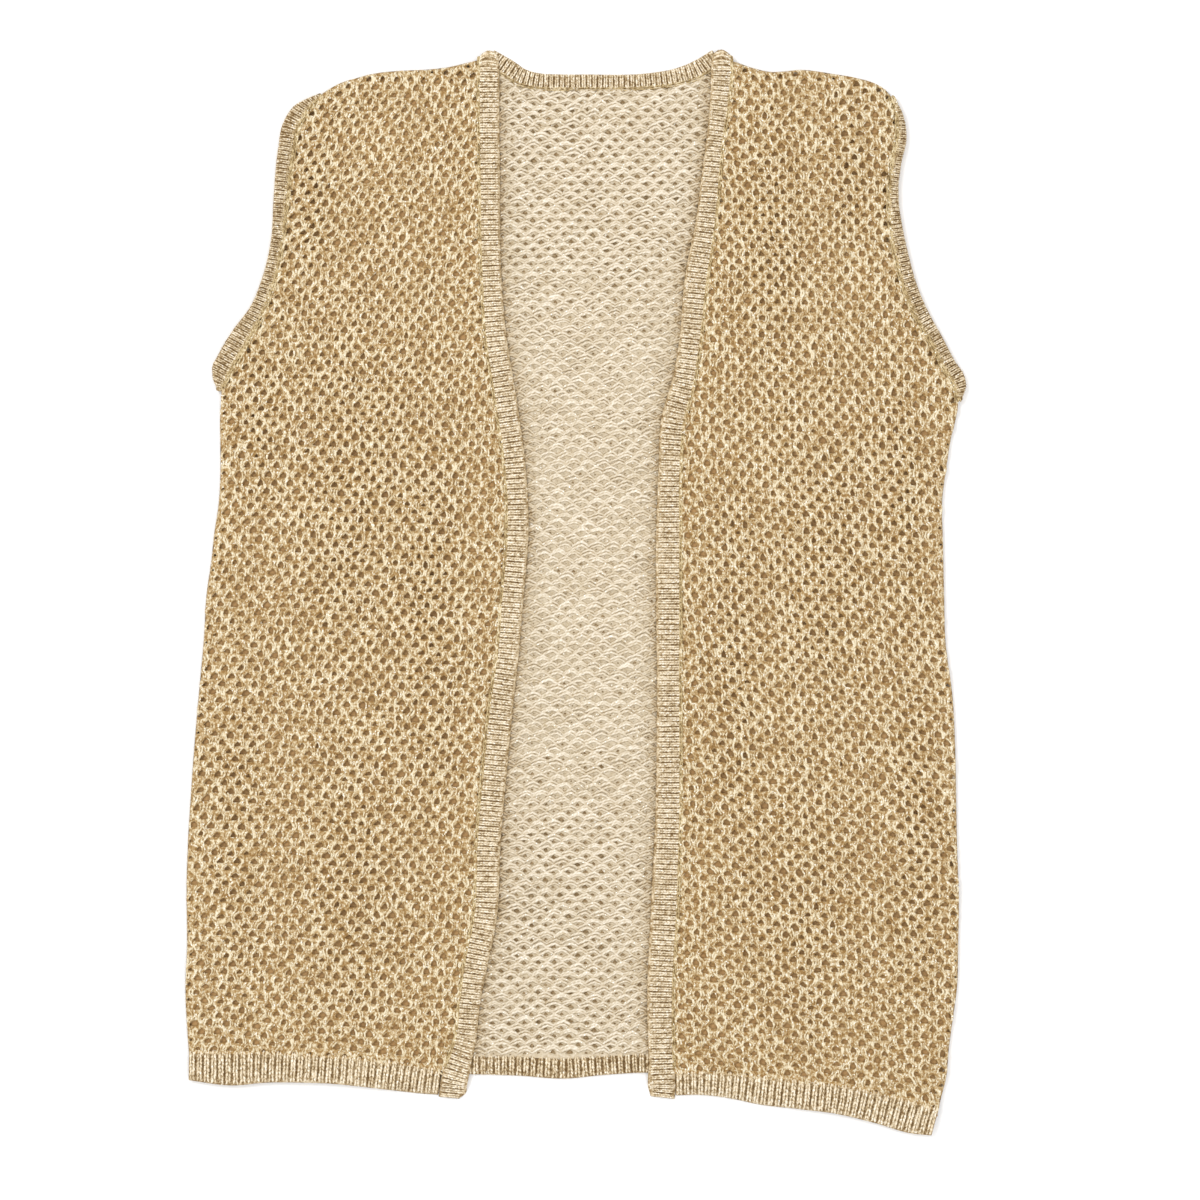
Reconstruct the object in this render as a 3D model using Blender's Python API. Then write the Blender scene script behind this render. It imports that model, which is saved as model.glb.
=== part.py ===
"""A sleeveless open-front cardigan in open mesh knit with ribbed bands, laid flat.

The tables and functions here work in millimetres, and a mesh is made in metres.
+X is the viewer's right, +Y runs from the hems to the neck and +Z is up off the
table. "Right" and "left" in names are the wearer's, so the right side is at -X.

The cloth lies in two layers. The lower one rests flat on the table: the back
panel, its hem, the neck band and the under side of each armhole band. The upper
one lies on it: the two fronts with their bands and hems, and the upper side of
each armhole band. Every seam is a gap of SEAM_GAP.
"""
import math
from typing import NamedTuple

import bmesh
import bpy
import numpy as np

MM = 0.001  # metres in a millimetre

# Driving sizes
WALL = 3.0  # one layer of knit
SEAM_GAP = 0.3  # between neighbouring pieces, and between the two layers
BAND_RIB = 3.4  # pitch of the ribs along the front bands
NECK_RIB = 3.6  # along the neck band
ARMHOLE_RIB = 2.9  # along the armhole bands
HEM_RIB = 4.8  # along the hems
RIB_DEPTH = 0.8
EDGE_ROUND = 0.9  # how far a wall's top edge is rounded down
SHOULDER_DOME = 4.5  # how far a front band's end bulges up over the shoulder
DOME_REACH = 10.0  # and how far down the band its rows bulge with it
BACK_INSET = 1.2  # the back's side edges lie this far inside the fronts'
PANEL_SEAM = SEAM_GAP + 0.15  # a panel's straight facets stay clear of a curved seam

# The upper layer runs level past the back hem, then down to the table
STEP_CLEAR = 5.0
STEP_RUN = 7.0

# Sampling
ROWS_PER_RIB = 2  # a crest and a groove
RIBS_PER_UNDER_ROW = 2  # the plain side needs fewer cross-rows
FOLD_STEPS = 5  # facets where an armhole band turns under
CURVE_SAMPLES = 2000
ARMHOLE_ROW = 9.0  # row spacing of the panels beside the armholes
SIDE_ROW = 18.0  # and below them
COLUMNS = (0, 0.03, 0.09, 0.15, 0.22, 0.36, 0.5, 0.65, 0.8, 0.98, 1)  # from the outer edge in
UNDER_COLUMNS = (0, 0.09, 0.22, 0.5, 0.8, 1)  # the under side has fewer
EDGE_COLUMNS = 20  # and a hem or neck row more, to follow its seam
SHOULDER_COLUMNS = 4


class Seam(NamedTuple):
    """A point of a band's seam line, and the band's width there."""

    x: float
    y: float
    width: float


class Edge(NamedTuple):
    """A point of a panel's own edge."""

    x: float
    y: float


class Fold(NamedTuple):
    """A soft ridge of the upper layer: its middle, its reach each way and its height."""

    x: float
    y: float
    across: float
    along: float
    height: float


class Section(NamedTuple):
    """One point of a band's section: its place from seam (0) to free edge (1), and
    how far it lies under the crown."""

    part: float
    drop: float


# Front bands, from the shoulder fold down to the hem
RIGHT_FRONT_BAND = (
    Seam(-63.8, 355.8, 12.8),
    Seam(-64, 344, 13.5),
    Seam(-64, 322, 13.5),
    Seam(-63.5, 275, 13.5),
    Seam(-62, 208, 13),
    Seam(-59.5, 168, 14),
    Seam(-53.5, 128, 14.5),
    Seam(-46.5, 78, 14),
    Seam(-45.5, 42, 14.5),
    Seam(-49, -5, 14.5),
    Seam(-52.5, -45, 14.5),
    Seam(-56.5, -72, 15.5),
    Seam(-62, -124, 16),
    Seam(-65.5, -165, 16),
    Seam(-68, -218, 15.5),
    Seam(-73.5, -245, 15.5),
    Seam(-77, -271, 14),
    Seam(-80, -297, 14),
    Seam(-85, -312, 16),
    Seam(-88.9, -325.5, 17),
    Seam(-89.6, -331.5, 16.4),
    Seam(-90, -335.3, 12.5),
)
LEFT_FRONT_BAND = (
    Seam(103.2, 356.3, 12.8),
    Seam(103.2, 344, 13.3),
    Seam(101.5, 324, 12.3),
    Seam(98, 301, 11),
    Seam(95.5, 275, 12),
    Seam(93, 247, 13),
    Seam(87.5, 208, 15),
    Seam(83, 168, 14),
    Seam(79, 141, 14.5),
    Seam(72, 112, 15.5),
    Seam(69.5, 82, 14.5),
    Seam(69.5, 42, 16),
    Seam(69.5, -72, 15.5),
    Seam(69.5, -145, 16.5),
    Seam(67.5, -210, 17.5),
    Seam(64.5, -271, 17),
    Seam(65, -311, 16.5),
    Seam(65.3, -332, 16.6),
    Seam(64.8, -336.6, 15),
)

# Back neck band, from the right shoulder to the left
BACK_NECK_BAND = (
    Seam(-60, 352, 10.5),
    Seam(-47.5, 343, 12),
    Seam(-39, 338, 11.3),
    Seam(-26.5, 334.7, 10.7),
    Seam(-10.5, 334, 10.4),
    Seam(9.5, 334.2, 10.2),
    Seam(29.5, 334.2, 9.9),
    Seam(50, 335.1, 10.2),
    Seam(69.5, 337.8, 11),
    Seam(83, 342, 12),
    Seam(97, 352, 10.5),
)

# Armhole bands, from the shoulder down to the underarm
RIGHT_ARMHOLE_BAND = (
    Seam(-168.5, 330.2, 1.2),
    Seam(-174, 325.6, 4.2),
    Seam(-179, 319, 8.5),
    Seam(-184.5, 309, 10),
    Seam(-187.5, 294, 10),
    Seam(-192, 260, 8.6),
    Seam(-195, 234, 7.2),
    Seam(-200.5, 207, 7.8),
    Seam(-208, 186, 8.8),
    Seam(-217.5, 168, 11.8),
    Seam(-226.5, 152, 12.3),
    Seam(-231.5, 143, 11.2),
    Seam(-233.8, 138.6, 7.5),
    Seam(-234.9, 135.4, 3.6),
    Seam(-235.3, 132.4, 1.2),
)
LEFT_ARMHOLE_BAND = (
    Seam(209.3, 329.3, 0.9),
    Seam(211.7, 324.5, 1.8),
    Seam(213.6, 319.3, 3),
    Seam(214.6, 311.5, 4.4),
    Seam(214.3, 303, 5.6),
    Seam(211.3, 286, 5.2),
    Seam(209.2, 271, 5.4),
    Seam(208.6, 256, 6.4),
    Seam(209.6, 243, 7.4),
    Seam(213, 224, 8),
    Seam(219, 201, 8.4),
    Seam(227, 182, 8.5),
    Seam(236.5, 166, 8),
    Seam(245.5, 149, 8),
    Seam(250.5, 140.3, 8.5),
    Seam(252.8, 135, 7),
    Seam(253.9, 130.6, 3.8),
    Seam(254.2, 126.6, 1.3),
)

# Hems, from the viewer's left to right, with the panel's edge as the seam line
RIGHT_FRONT_HEM = (
    Seam(-256.8, -306.5, 17.5),
    Seam(-228, -306.8, 20.7),
    Seam(-206, -307, 18.7),
    Seam(-183, -308, 17.6),
    Seam(-156, -309.8, 17),
    Seam(-143.5, -310.8, 17.4),
    Seam(-116.5, -314, 17.5),
    Seam(-100, -316.6, 16.7),
    Seam(-89.2, -318, 16),
)
LEFT_FRONT_HEM = (
    Seam(66.5, -319.8, 14.5),
    Seam(83, -319.6, 14.4),
    Seam(109, -321.3, 16),
    Seam(122.5, -322.8, 17.4),
    Seam(149.5, -325.6, 17.8),
    Seam(176, -328.5, 18.1),
    Seam(202.5, -334, 18.8),
    Seam(229, -341, 19.2),
    Seam(241, -344.3, 17),
)
BACK_HEM = (
    Seam(-255.5, -308.5, 14.5),
    Seam(-163, -309.5, 11.5),
    Seam(-72, -308.3, 12),
    Seam(-37, -308.8, 12.5),
    Seam(-7, -310, 13.2),
    Seam(16, -308.6, 12.4),
    Seam(46, -307, 12.3),
    Seam(122, -315.5, 13),
    Seam(182, -325.5, 16),
    Seam(240, -338.5, 17.5),
)

# The garment's sides, from the underarm down to the hem's seam
RIGHT_SIDE = (
    Edge(-235.4, 128),
    Edge(-236.2, 115),
    Edge(-236, 100),
    Edge(-236, 76),
    Edge(-237.2, 58),
    Edge(-240.2, 38),
    Edge(-241.8, 22),
    Edge(-245.2, -2),
    Edge(-246.7, -28),
    Edge(-248.4, -48),
    Edge(-251, -76),
    Edge(-253.6, -107),
    Edge(-255.5, -134),
    Edge(-257.4, -165),
    Edge(-258.4, -195),
    Edge(-258.1, -235),
    Edge(-259.2, -264),
    Edge(-258, -290),
    Edge(-256.8, -306.5),
)
LEFT_SIDE = (
    Edge(254, 122.5),
    Edge(252.4, 114),
    Edge(249, 100),
    Edge(246.8, 85),
    Edge(243.6, 60),
    Edge(244.2, 35),
    Edge(245, -5),
    Edge(245.7, -30),
    Edge(250.8, -72),
    Edge(252.3, -103),
    Edge(253, -138),
    Edge(253.6, -170),
    Edge(254.8, -205),
    Edge(254.3, -235),
    Edge(253.4, -264),
    Edge(251.2, -280),
    Edge(248, -304),
    Edge(246.2, -323),
    Edge(242.4, -337.5),
    Edge(240.8, -344.1),
)

# The shoulders, from the armhole in to the neck
RIGHT_SHOULDER = (
    Edge(-168.5, 331.2),
    Edge(-161.5, 335.7),
    Edge(-153.5, 339.5),
    Edge(-145.5, 341.7),
    Edge(-137.5, 344),
    Edge(-129, 345.5),
    Edge(-117, 346.5),
    Edge(-97, 347.5),
    Edge(-86, 348.7),
    Edge(-75.5, 351),
    Edge(-64, 354),
)
LEFT_SHOULDER = (
    Edge(209.3, 330.3),
    Edge(206.2, 333.6),
    Edge(198, 338.7),
    Edge(190, 341),
    Edge(182, 342.8),
    Edge(172, 344.3),
    Edge(162, 346),
    Edge(149, 347.2),
    Edge(139, 346.2),
    Edge(129.5, 345.8),
    Edge(120, 347.8),
    Edge(104, 353.3),
)

# The largest soft folds of the fronts: ridges, with troughs left between them
FOLDS = (
    Fold(-176, 262, 9, 42, 2.4),
    Fold(-212, 120, 14, 60, 1.6),
    Fold(-150, 60, 40, 120, 1.6),
    Fold(-95, -20, 18, 120, 1.8),
    Fold(-226, -150, 16, 110, 1.8),
    Fold(-150, -190, 34, 90, 1.4),
    Fold(206, 286, 4, 36, 1.2),
    Fold(183, 285, 9, 46, 2.6),
    Fold(130, 230, 20, 80, 1.6),
    Fold(216, 70, 16, 70, 1.8),
    Fold(165, 20, 34, 110, 1.6),
    Fold(105, -60, 18, 120, 1.6),
    Fold(226, -160, 16, 100, 2.0),
    Fold(150, -210, 36, 80, 1.4),
)

# Sections of the bands: the outer side's points, and the plain side's
BAND_SECTION = (Section(0.04, 0.5), Section(0.5, 0.0), Section(0.94, EDGE_ROUND))
BAND_UNDER = (0, 1)
DOMED_UNDER = (0, 0.5, 1)
HEM_SECTION = (Section(0.03, 0.5), Section(0.35, 0.0), Section(0.7, 0.0), Section(0.96, EDGE_ROUND))
HEM_UNDER = (0, 0.35, 0.7, 1)


# ---------------------------------------------------------------- curves

def smooth_curve(rows, count, trim=0.0):
    """Evenly spaced points on a smooth curve through the rows, with their other
    columns, from trim after its start to trim before its end."""
    rows = np.array(rows, dtype=float)
    steps = np.linalg.norm(np.diff(rows[:, :2], axis=0), axis=1)
    chord = np.concatenate([[0], np.cumsum(steps)])
    slope = np.gradient(rows, chord, axis=0)
    place = np.linspace(0, chord[-1], CURVE_SAMPLES)
    k = np.clip(np.searchsorted(chord, place, side="right") - 1, 0, len(rows) - 2)
    span = (chord[k + 1] - chord[k])[:, None]
    t = (place - chord[k])[:, None] / span
    curve = (
        (1 + 2 * t) * (1 - t) ** 2 * rows[k]
        + t * (1 - t) ** 2 * span * slope[k]
        + t**2 * (3 - 2 * t) * rows[k + 1]
        + t**2 * (t - 1) * span * slope[k + 1]
    )
    length = run_along(curve)
    even = np.linspace(trim, length[-1] - trim, count)
    return np.column_stack([np.interp(even, length, column) for column in curve.T])


def run_along(points):
    """Distance along a line of points, from its first to each."""
    steps = np.linalg.norm(np.diff(points[:, :2], axis=0), axis=1)
    return np.concatenate([[0], np.cumsum(steps)])


def directions(points):
    """Unit directions along a line of points, and square to it on its left."""
    along = np.gradient(points[:, :2], axis=0)
    along /= np.linalg.norm(along, axis=1, keepdims=True)
    return along, np.column_stack([-along[:, 1], along[:, 0]])


def moved_sideways(points, distance):
    """A line of points moved to its own left."""
    return points[:, :2] + distance * directions(points)[1]


def at_height(line, y):
    """Where a line that runs downwards passes the heights y."""
    return np.column_stack([np.interp(-y, -line[:, 1], line[:, 0]), y])


# ---------------------------------------------------------------- heights

def back_hem_edge():
    """The free edge of the back hem, left to right."""
    line = smooth_curve(BACK_HEM, CURVE_SAMPLES)
    return line[:, :2] - line[:, 2:] * directions(line)[1]


BACK_EDGE = back_hem_edge()


def lower_base(xy):
    """Height of the lower layer's under side: the table."""
    return np.zeros(len(xy))


def folds_at(xy):
    """How far the soft folds lift the upper layer."""
    lift = np.zeros(len(xy))
    for fold in FOLDS:
        across = (xy[:, 0] - fold.x) / fold.across
        along = (xy[:, 1] - fold.y) / fold.along
        lift += fold.height * np.exp(-(across**2) - along**2)
    return lift


def upper_base(xy):
    """Height of the upper layer's under side: on the lower layer, and eased down to
    the table past the back hem."""
    past_edge = np.interp(xy[:, 0], BACK_EDGE[:, 0], BACK_EDGE[:, 1]) - xy[:, 1]
    t = np.clip((past_edge - STEP_CLEAR) / STEP_RUN, 0, 1)
    return (WALL + SEAM_GAP) * (1 - t * t * (3 - 2 * t)) + folds_at(xy)


def raised(xy, height):
    """Points at the places xy and the given height."""
    return np.column_stack([xy, np.broadcast_to(height, len(xy))])


# ---------------------------------------------------------------- solids

def bridge(points, line_a, line_b):
    """Faces between two lines of vertex numbers that start and end side by side:
    four-sided where both have as many, or else triangles that keep pace along them."""
    if len(line_a) == len(line_b):
        corners = zip(line_a, line_a[1:], line_b[1:], line_b)
        return list(corners)
    run_a, run_b = run_along(points[line_a]), run_along(points[line_b])
    part_a, part_b = run_a / run_a[-1], run_b / run_b[-1]
    faces = []
    a, b = 0, 0
    last_a, last_b = len(line_a) - 1, len(line_b) - 1
    while a < last_a or b < last_b:
        a_lags = b == last_b or a < last_a and part_a[a:a + 2].sum() <= part_b[b:b + 2].sum()
        if a_lags:
            faces.append((line_a[a], line_a[a + 1], line_b[b]))
            a += 1
        else:
            faces.append((line_a[a], line_b[b + 1], line_b[b]))
            b += 1
    return faces


def skin(points, rows):
    """Faces between each row of vertex numbers and the next."""
    return [face for row, after in zip(rows, rows[1:]) for face in bridge(points, row, after)]


def add_solid(name, outer, inner, anchors, material, closed=False):
    """A closed body between an outer skin of cross-rows and an inner skin of fewer,
    whose row k faces outer row anchors[k]. A closed band's last rows join its first."""
    points = np.vstack([*outer, *inner]) * MM
    numbers = iter(range(len(points)))
    outer = [[next(numbers) for _ in row] for row in outer]
    inner = [[next(numbers) for _ in row] for row in inner]
    anchors = list(anchors)
    if closed:
        anchors.append(len(outer))
        outer.append(outer[0])
        inner.append(inner[0])
    faces = skin(points, outer) + skin(points, inner)
    for side in (0, -1):
        for k in range(len(inner) - 1):
            edge = [row[side] for row in outer[anchors[k]:anchors[k + 1] + 1]]
            faces += bridge(points, edge, [inner[k][side], inner[k + 1][side]])
    if not closed:
        faces += bridge(points, outer[0], inner[0]) + bridge(points, outer[-1], inner[-1])

    mesh = bpy.data.meshes.new(name)
    mesh.from_pydata(points.tolist(), [], faces)
    work = bmesh.new()
    work.from_mesh(mesh)
    bmesh.ops.recalc_face_normals(work, faces=work.faces)
    work.to_mesh(mesh)
    work.free()
    mesh.shade_smooth()
    mesh.set_sharp_from_angle(angle=math.radians(50))
    mesh.materials.append(material)
    solid = bpy.data.objects.new(name, mesh)
    bpy.data.collections["cardigan"].objects.link(solid)
    return solid


def rib_rows(length, rib):
    """How many cross-rows a ribbed band has, so that its under rows fit in too."""
    groups = round(length / rib / RIBS_PER_UNDER_ROW)
    return groups * RIBS_PER_UNDER_ROW * ROWS_PER_RIB + 1


def add_band(name, table, side, rib, base, section, under, material, dome=0.0):
    """A ribbed strip along its seam line. side is 1 where its free edge lies to the
    left of the way the table runs, and -1 to the right. Its first rows bulge back by
    up to dome."""
    length = run_along(smooth_curve(table, CURVE_SAMPLES))[-1]
    line = smooth_curve(table, rib_rows(length, rib))
    along, left = directions(line)
    seams = line[:, :2]
    frees = seams + side * line[:, 2:] * left
    fade = np.clip(1 - run_along(line) / DOME_REACH, 0, 1) ** 2
    bulges = dome * fade[:, None] * along

    def cross_row(row, parts):
        parts = np.array(parts)[:, None]
        straight = seams[row] + (frees[row] - seams[row]) * parts
        return straight - bulges[row] * 4 * parts * (1 - parts)

    drops = np.array([point.drop for point in section])
    outer = []
    for row in range(len(line)):
        xy = cross_row(row, [point.part for point in section])
        groove = RIB_DEPTH * (row % ROWS_PER_RIB)
        outer.append(raised(xy, base(xy) + WALL - drops - groove))
    anchors = range(0, len(line), ROWS_PER_RIB * RIBS_PER_UNDER_ROW)
    inner = []
    for row in anchors:
        xy = cross_row(row, under)
        inner.append(raised(xy, base(xy)))
    return add_solid(name, outer, inner, anchors, material)


def add_armhole_band(name, table, side, material):
    """A closed ring of rib, pressed flat: its upper side runs down from the shoulder,
    turns under at the underarm, runs back up as its under side and turns over."""
    turn = SEAM_GAP / 2 + WALL  # radius of the outside of each turn
    trim = turn + SEAM_GAP
    length = run_along(smooth_curve(table, CURVE_SAMPLES))[-1] - 2 * trim
    line = smooth_curve(table, rib_rows(length, ARMHOLE_RIB), trim)
    seams = line[:, :2]
    frees = seams + side * line[:, 2:] * directions(line)[1]
    along = directions(line)[0]
    last = len(line) - 1
    coarse = range(0, last + 1, ROWS_PER_RIB * RIBS_PER_UNDER_ROW)
    turns = [math.pi * step / FOLD_STEPS for step in range(1, FOLD_STEPS)]

    # Each station: its row on the line, its angle round the turn, and the way it turns
    upper = [(row, 0.0, along[row]) for row in range(last + 1)]
    underarm = [(last, angle, along[last]) for angle in turns]
    lower = [(row, math.pi, along[row]) for row in reversed(coarse)]
    shoulder = [(0, math.pi - angle, -along[0]) for angle in turns]
    stations = upper + underarm + lower + shoulder
    anchors = [*coarse, *range(last + 1, len(stations))]

    outer, inner = [], []
    for number, (row, angle, way) in enumerate(stations):
        out = np.array([*(math.sin(angle) * way), math.cos(angle)])
        flat_side = angle > math.pi / 2
        drops = [0 if flat_side else point.drop * out[2] for point in BAND_SECTION]
        groove = RIB_DEPTH * (row % ROWS_PER_RIB)
        if number in anchors:
            xy = seams[row] + (frees[row] - seams[row]) * np.array(BAND_UNDER)[:, None]
            lift = folds_at(xy) * (angle == 0)
            inner.append(raised(xy, WALL + SEAM_GAP / 2 + lift) + out * SEAM_GAP / 2)
        parts = np.array([point.part for point in BAND_SECTION])[:, None]
        xy = seams[row] + (frees[row] - seams[row]) * parts
        lift = folds_at(xy) * (angle == 0)
        depths = turn - np.array(drops) - groove
        outer.append(raised(xy, WALL + SEAM_GAP / 2 + lift) + out * depths[:, None])
    return add_solid(name, outer, inner, anchors, material, closed=True)


# ---------------------------------------------------------------- panels

def outer_edge(armhole, side_table, side, inset):
    """A panel's armhole seam and side edge, as one line from the shoulder down.
    side is 1 on the wearer's left, where the panel lies to the line's right."""
    seam = moved_sideways(smooth_curve(armhole, CURVE_SAMPLES), -side * PANEL_SEAM)
    edge = moved_sideways(smooth_curve(side_table, CURVE_SAMPLES), -side * inset)
    return np.vstack([seam, edge])


def panel_heights(armhole, line, bottom):
    """Heights of a panel's rows on its outer edge, from the shoulder down."""
    top = line[0, 1]
    underarm = armhole[-1].y
    beside = math.ceil((top - underarm) / ARMHOLE_ROW)
    below = math.ceil((underarm - bottom) / SIDE_ROW)
    return np.concatenate(
        [np.linspace(top, underarm, beside + 1), np.linspace(underarm, bottom, below + 1)[1:]]
    )


def ends_joined(curve, start, end):
    """A curve moved a little along its length, so that it starts and ends as given."""
    t = np.linspace(0, 1, len(curve))[:, None]
    return curve + (1 - t) * (start - curve[0]) + t * (end - curve[-1])


def along_curve(curve, parts):
    """Points at parts of a curve's length."""
    length = run_along(curve)
    places = np.array(parts) * length[-1]
    return np.column_stack([np.interp(places, length, column) for column in curve.T])


def patch(top, bottom, left, right, u, v):
    """A grid of points spanned by four edge lines that meet at their ends, as a
    Coons patch. Row k has its place v[k] down the sides."""
    rows = []
    for k, part in enumerate(v):
        sides = (1 - u) * left[k] + u * right[k]
        ends = (1 - part) * top + part * bottom
        corners = (1 - part) * ((1 - u) * left[0] + u * right[0])
        corners = corners + part * ((1 - u) * left[-1] + u * right[-1])
        rows.append(sides + ends - corners)
    return rows


def add_front(name, armhole, side_table, shoulder, band, hem, side, material):
    """A front panel, from its outer edge in to the band's seam."""
    outer = outer_edge(armhole, side_table, side, 0)
    band_seam = moved_sideways(smooth_curve(band, CURVE_SAMPLES)[:, :2], side * PANEL_SEAM)
    hem_seam = moved_sideways(smooth_curve(hem, CURVE_SAMPLES), PANEL_SEAM)
    if side > 0:
        hem_seam = hem_seam[::-1]
    heights = panel_heights(armhole, outer, hem_seam[0, 1])
    parts = (heights - heights[0]) / (heights[-1] - heights[0])
    inner_top, inner_bottom = shoulder[-1].y, hem_seam[-1, 1]
    left = at_height(outer, heights)
    right = at_height(band_seam, inner_top + parts * (inner_bottom - inner_top))
    top = ends_joined(smooth_curve(shoulder, CURVE_SAMPLES), left[0], right[0])
    bottom = ends_joined(hem_seam, left[-1], right[-1])
    edge_parts = np.linspace(0, 1, EDGE_COLUMNS + 1)

    def grid(columns):
        ends = along_curve(top, columns), along_curve(bottom, columns)
        rows = patch(*ends, left, right, np.array(columns)[:, None], parts)
        return rows[:-1] + [along_curve(bottom, edge_parts)]

    upper = []
    for k, xy in enumerate(grid(COLUMNS)):
        rounding = np.zeros(len(xy))
        rounding[[0, -1]] = EDGE_ROUND
        if k in (0, len(parts) - 1):
            rounding[:] = EDGE_ROUND
        upper.append(raised(xy, upper_base(xy) + WALL - rounding))
    lower = [raised(xy, upper_base(xy)) for xy in grid(UNDER_COLUMNS)]
    return add_solid(name, upper, lower, range(len(parts)), material)


def add_back(name, material):
    """The back panel: a flat wall with a shallow neck, in rows from side to side."""
    right_edge = outer_edge(RIGHT_ARMHOLE_BAND, RIGHT_SIDE, -1, BACK_INSET)
    left_edge = outer_edge(LEFT_ARMHOLE_BAND, LEFT_SIDE, 1, BACK_INSET)
    hem_seam = moved_sideways(smooth_curve(BACK_HEM, CURVE_SAMPLES), PANEL_SEAM)
    rights = at_height(right_edge, panel_heights(RIGHT_ARMHOLE_BAND, right_edge, hem_seam[0, 1]))
    lefts = at_height(left_edge, panel_heights(LEFT_ARMHOLE_BAND, left_edge, hem_seam[-1, 1]))
    count = min(len(rights), len(lefts))

    neck = moved_sideways(smooth_curve(BACK_NECK_BAND, EDGE_COLUMNS + 1), -PANEL_SEAM)
    shoulders = [
        smooth_curve(table, SHOULDER_COLUMNS + 1) - (0, BACK_INSET)
        for table in (RIGHT_SHOULDER, LEFT_SHOULDER)
    ]
    top = np.vstack([rights[:1], shoulders[0][1:-1], neck, shoulders[1][1:-1][::-1], lefts[:1]])
    bottom = along_curve(hem_seam, np.linspace(0, 1, len(top)))
    bottom = ends_joined(bottom, rights[-1], lefts[-1])
    rows = [top]
    rows += [np.array([rights[k], lefts[k]]) for k in range(1, count - 1)]
    rows += [bottom]
    upper = [raised(xy, WALL) for xy in rows]
    lower = [raised(xy, 0) for xy in rows]
    return add_solid(name, upper, lower, range(len(rows)), material)


# ---------------------------------------------------------------- the garment

def knit_material(name, colour):
    """Matt yarn in one colour."""
    material = bpy.data.materials.new(name)
    material.use_nodes = True
    shader = material.node_tree.nodes["Principled BSDF"]
    shader.inputs["Base Color"].default_value = (*colour, 1)
    shader.inputs["Roughness"].default_value = 0.85
    shader.inputs["Metallic"].default_value = 0.0
    return material


def clear_scene():
    for old in list(bpy.data.objects):
        bpy.data.objects.remove(old, do_unlink=True)


def centre_on_origin(solids):
    """Move the meshes so that the origin is under the middle of the garment's box."""
    corners = np.array([corner[:2] for solid in solids for corner in solid.bound_box])
    middle = (corners.min(axis=0) + corners.max(axis=0)) / 2
    for solid in solids:
        for vertex in solid.data.vertices:
            vertex.co.x -= middle[0]
            vertex.co.y -= middle[1]


def build_cardigan():
    clear_scene()
    bpy.context.scene.collection.children.link(bpy.data.collections.new("cardigan"))
    mesh_knit = knit_material("mesh_knit", (0.58, 0.43, 0.21))
    back_knit = knit_material("mesh_knit_inside", (0.80, 0.69, 0.45))
    rib_knit = knit_material("rib_knit", (0.62, 0.49, 0.29))

    front_band = (BAND_SECTION, DOMED_UNDER, rib_knit, SHOULDER_DOME)
    band = (BAND_SECTION, BAND_UNDER, rib_knit)
    hem = (HEM_SECTION, HEM_UNDER, rib_knit)
    solids = [
        add_back("back_panel", back_knit),
        add_front("right_front_panel", RIGHT_ARMHOLE_BAND, RIGHT_SIDE, RIGHT_SHOULDER,
                  RIGHT_FRONT_BAND, RIGHT_FRONT_HEM, -1, mesh_knit),
        add_front("left_front_panel", LEFT_ARMHOLE_BAND, LEFT_SIDE, LEFT_SHOULDER,
                  LEFT_FRONT_BAND, LEFT_FRONT_HEM, 1, mesh_knit),
        add_band("right_front_band", RIGHT_FRONT_BAND, 1, BAND_RIB, upper_base, *front_band),
        add_band("left_front_band", LEFT_FRONT_BAND, -1, BAND_RIB, upper_base, *front_band),
        add_band("back_neck_band", BACK_NECK_BAND, 1, NECK_RIB, lower_base, *band),
        add_band("right_front_hem", RIGHT_FRONT_HEM, -1, HEM_RIB, upper_base, *hem),
        add_band("left_front_hem", LEFT_FRONT_HEM, -1, HEM_RIB, upper_base, *hem),
        add_band("back_hem", BACK_HEM, -1, HEM_RIB, lower_base, *band),
        add_armhole_band("right_armhole_band", RIGHT_ARMHOLE_BAND, -1, rib_knit),
        add_armhole_band("left_armhole_band", LEFT_ARMHOLE_BAND, 1, rib_knit),
    ]
    centre_on_origin(solids)


build_cardigan()
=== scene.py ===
"""The looks of a sleeveless open-front cardigan in open mesh knit, laid flat.

The tables and functions work in millimetres, in the axes of the frame: +X is the
viewer's right, +Y runs from the hems to the neck and +Z is up off the table. "Right"
and "left" in names are the wearer's, so the right side is at -X.

Each panel is a thin ground cloth with a hole in every cell of its lattice, and on it
lie the stitches, each leg of which is a short length of half-round yarn. A place in
a lattice is given by its wale (across) and its course (up). Holes lie where wale and
course are whole numbers with an even sum. Bands and hems are shells with raised ribs.
"""
import math
from typing import NamedTuple

import bpy
import numpy as np
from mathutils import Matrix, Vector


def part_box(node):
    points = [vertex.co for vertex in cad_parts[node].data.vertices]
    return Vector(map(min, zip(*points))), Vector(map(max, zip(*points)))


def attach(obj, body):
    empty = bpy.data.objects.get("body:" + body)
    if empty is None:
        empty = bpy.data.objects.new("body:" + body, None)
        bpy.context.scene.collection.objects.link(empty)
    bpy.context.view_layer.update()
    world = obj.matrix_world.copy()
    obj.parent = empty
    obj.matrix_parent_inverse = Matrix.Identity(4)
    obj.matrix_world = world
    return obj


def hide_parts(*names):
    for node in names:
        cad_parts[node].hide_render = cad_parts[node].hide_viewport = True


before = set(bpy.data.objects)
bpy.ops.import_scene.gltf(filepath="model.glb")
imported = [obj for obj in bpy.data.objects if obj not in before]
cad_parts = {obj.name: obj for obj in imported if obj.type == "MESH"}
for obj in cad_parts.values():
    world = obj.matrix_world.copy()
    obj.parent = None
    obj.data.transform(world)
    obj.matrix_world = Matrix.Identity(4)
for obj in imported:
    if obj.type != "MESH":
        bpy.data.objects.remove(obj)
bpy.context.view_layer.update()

MM = 0.001  # metres in a millimetre

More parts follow.
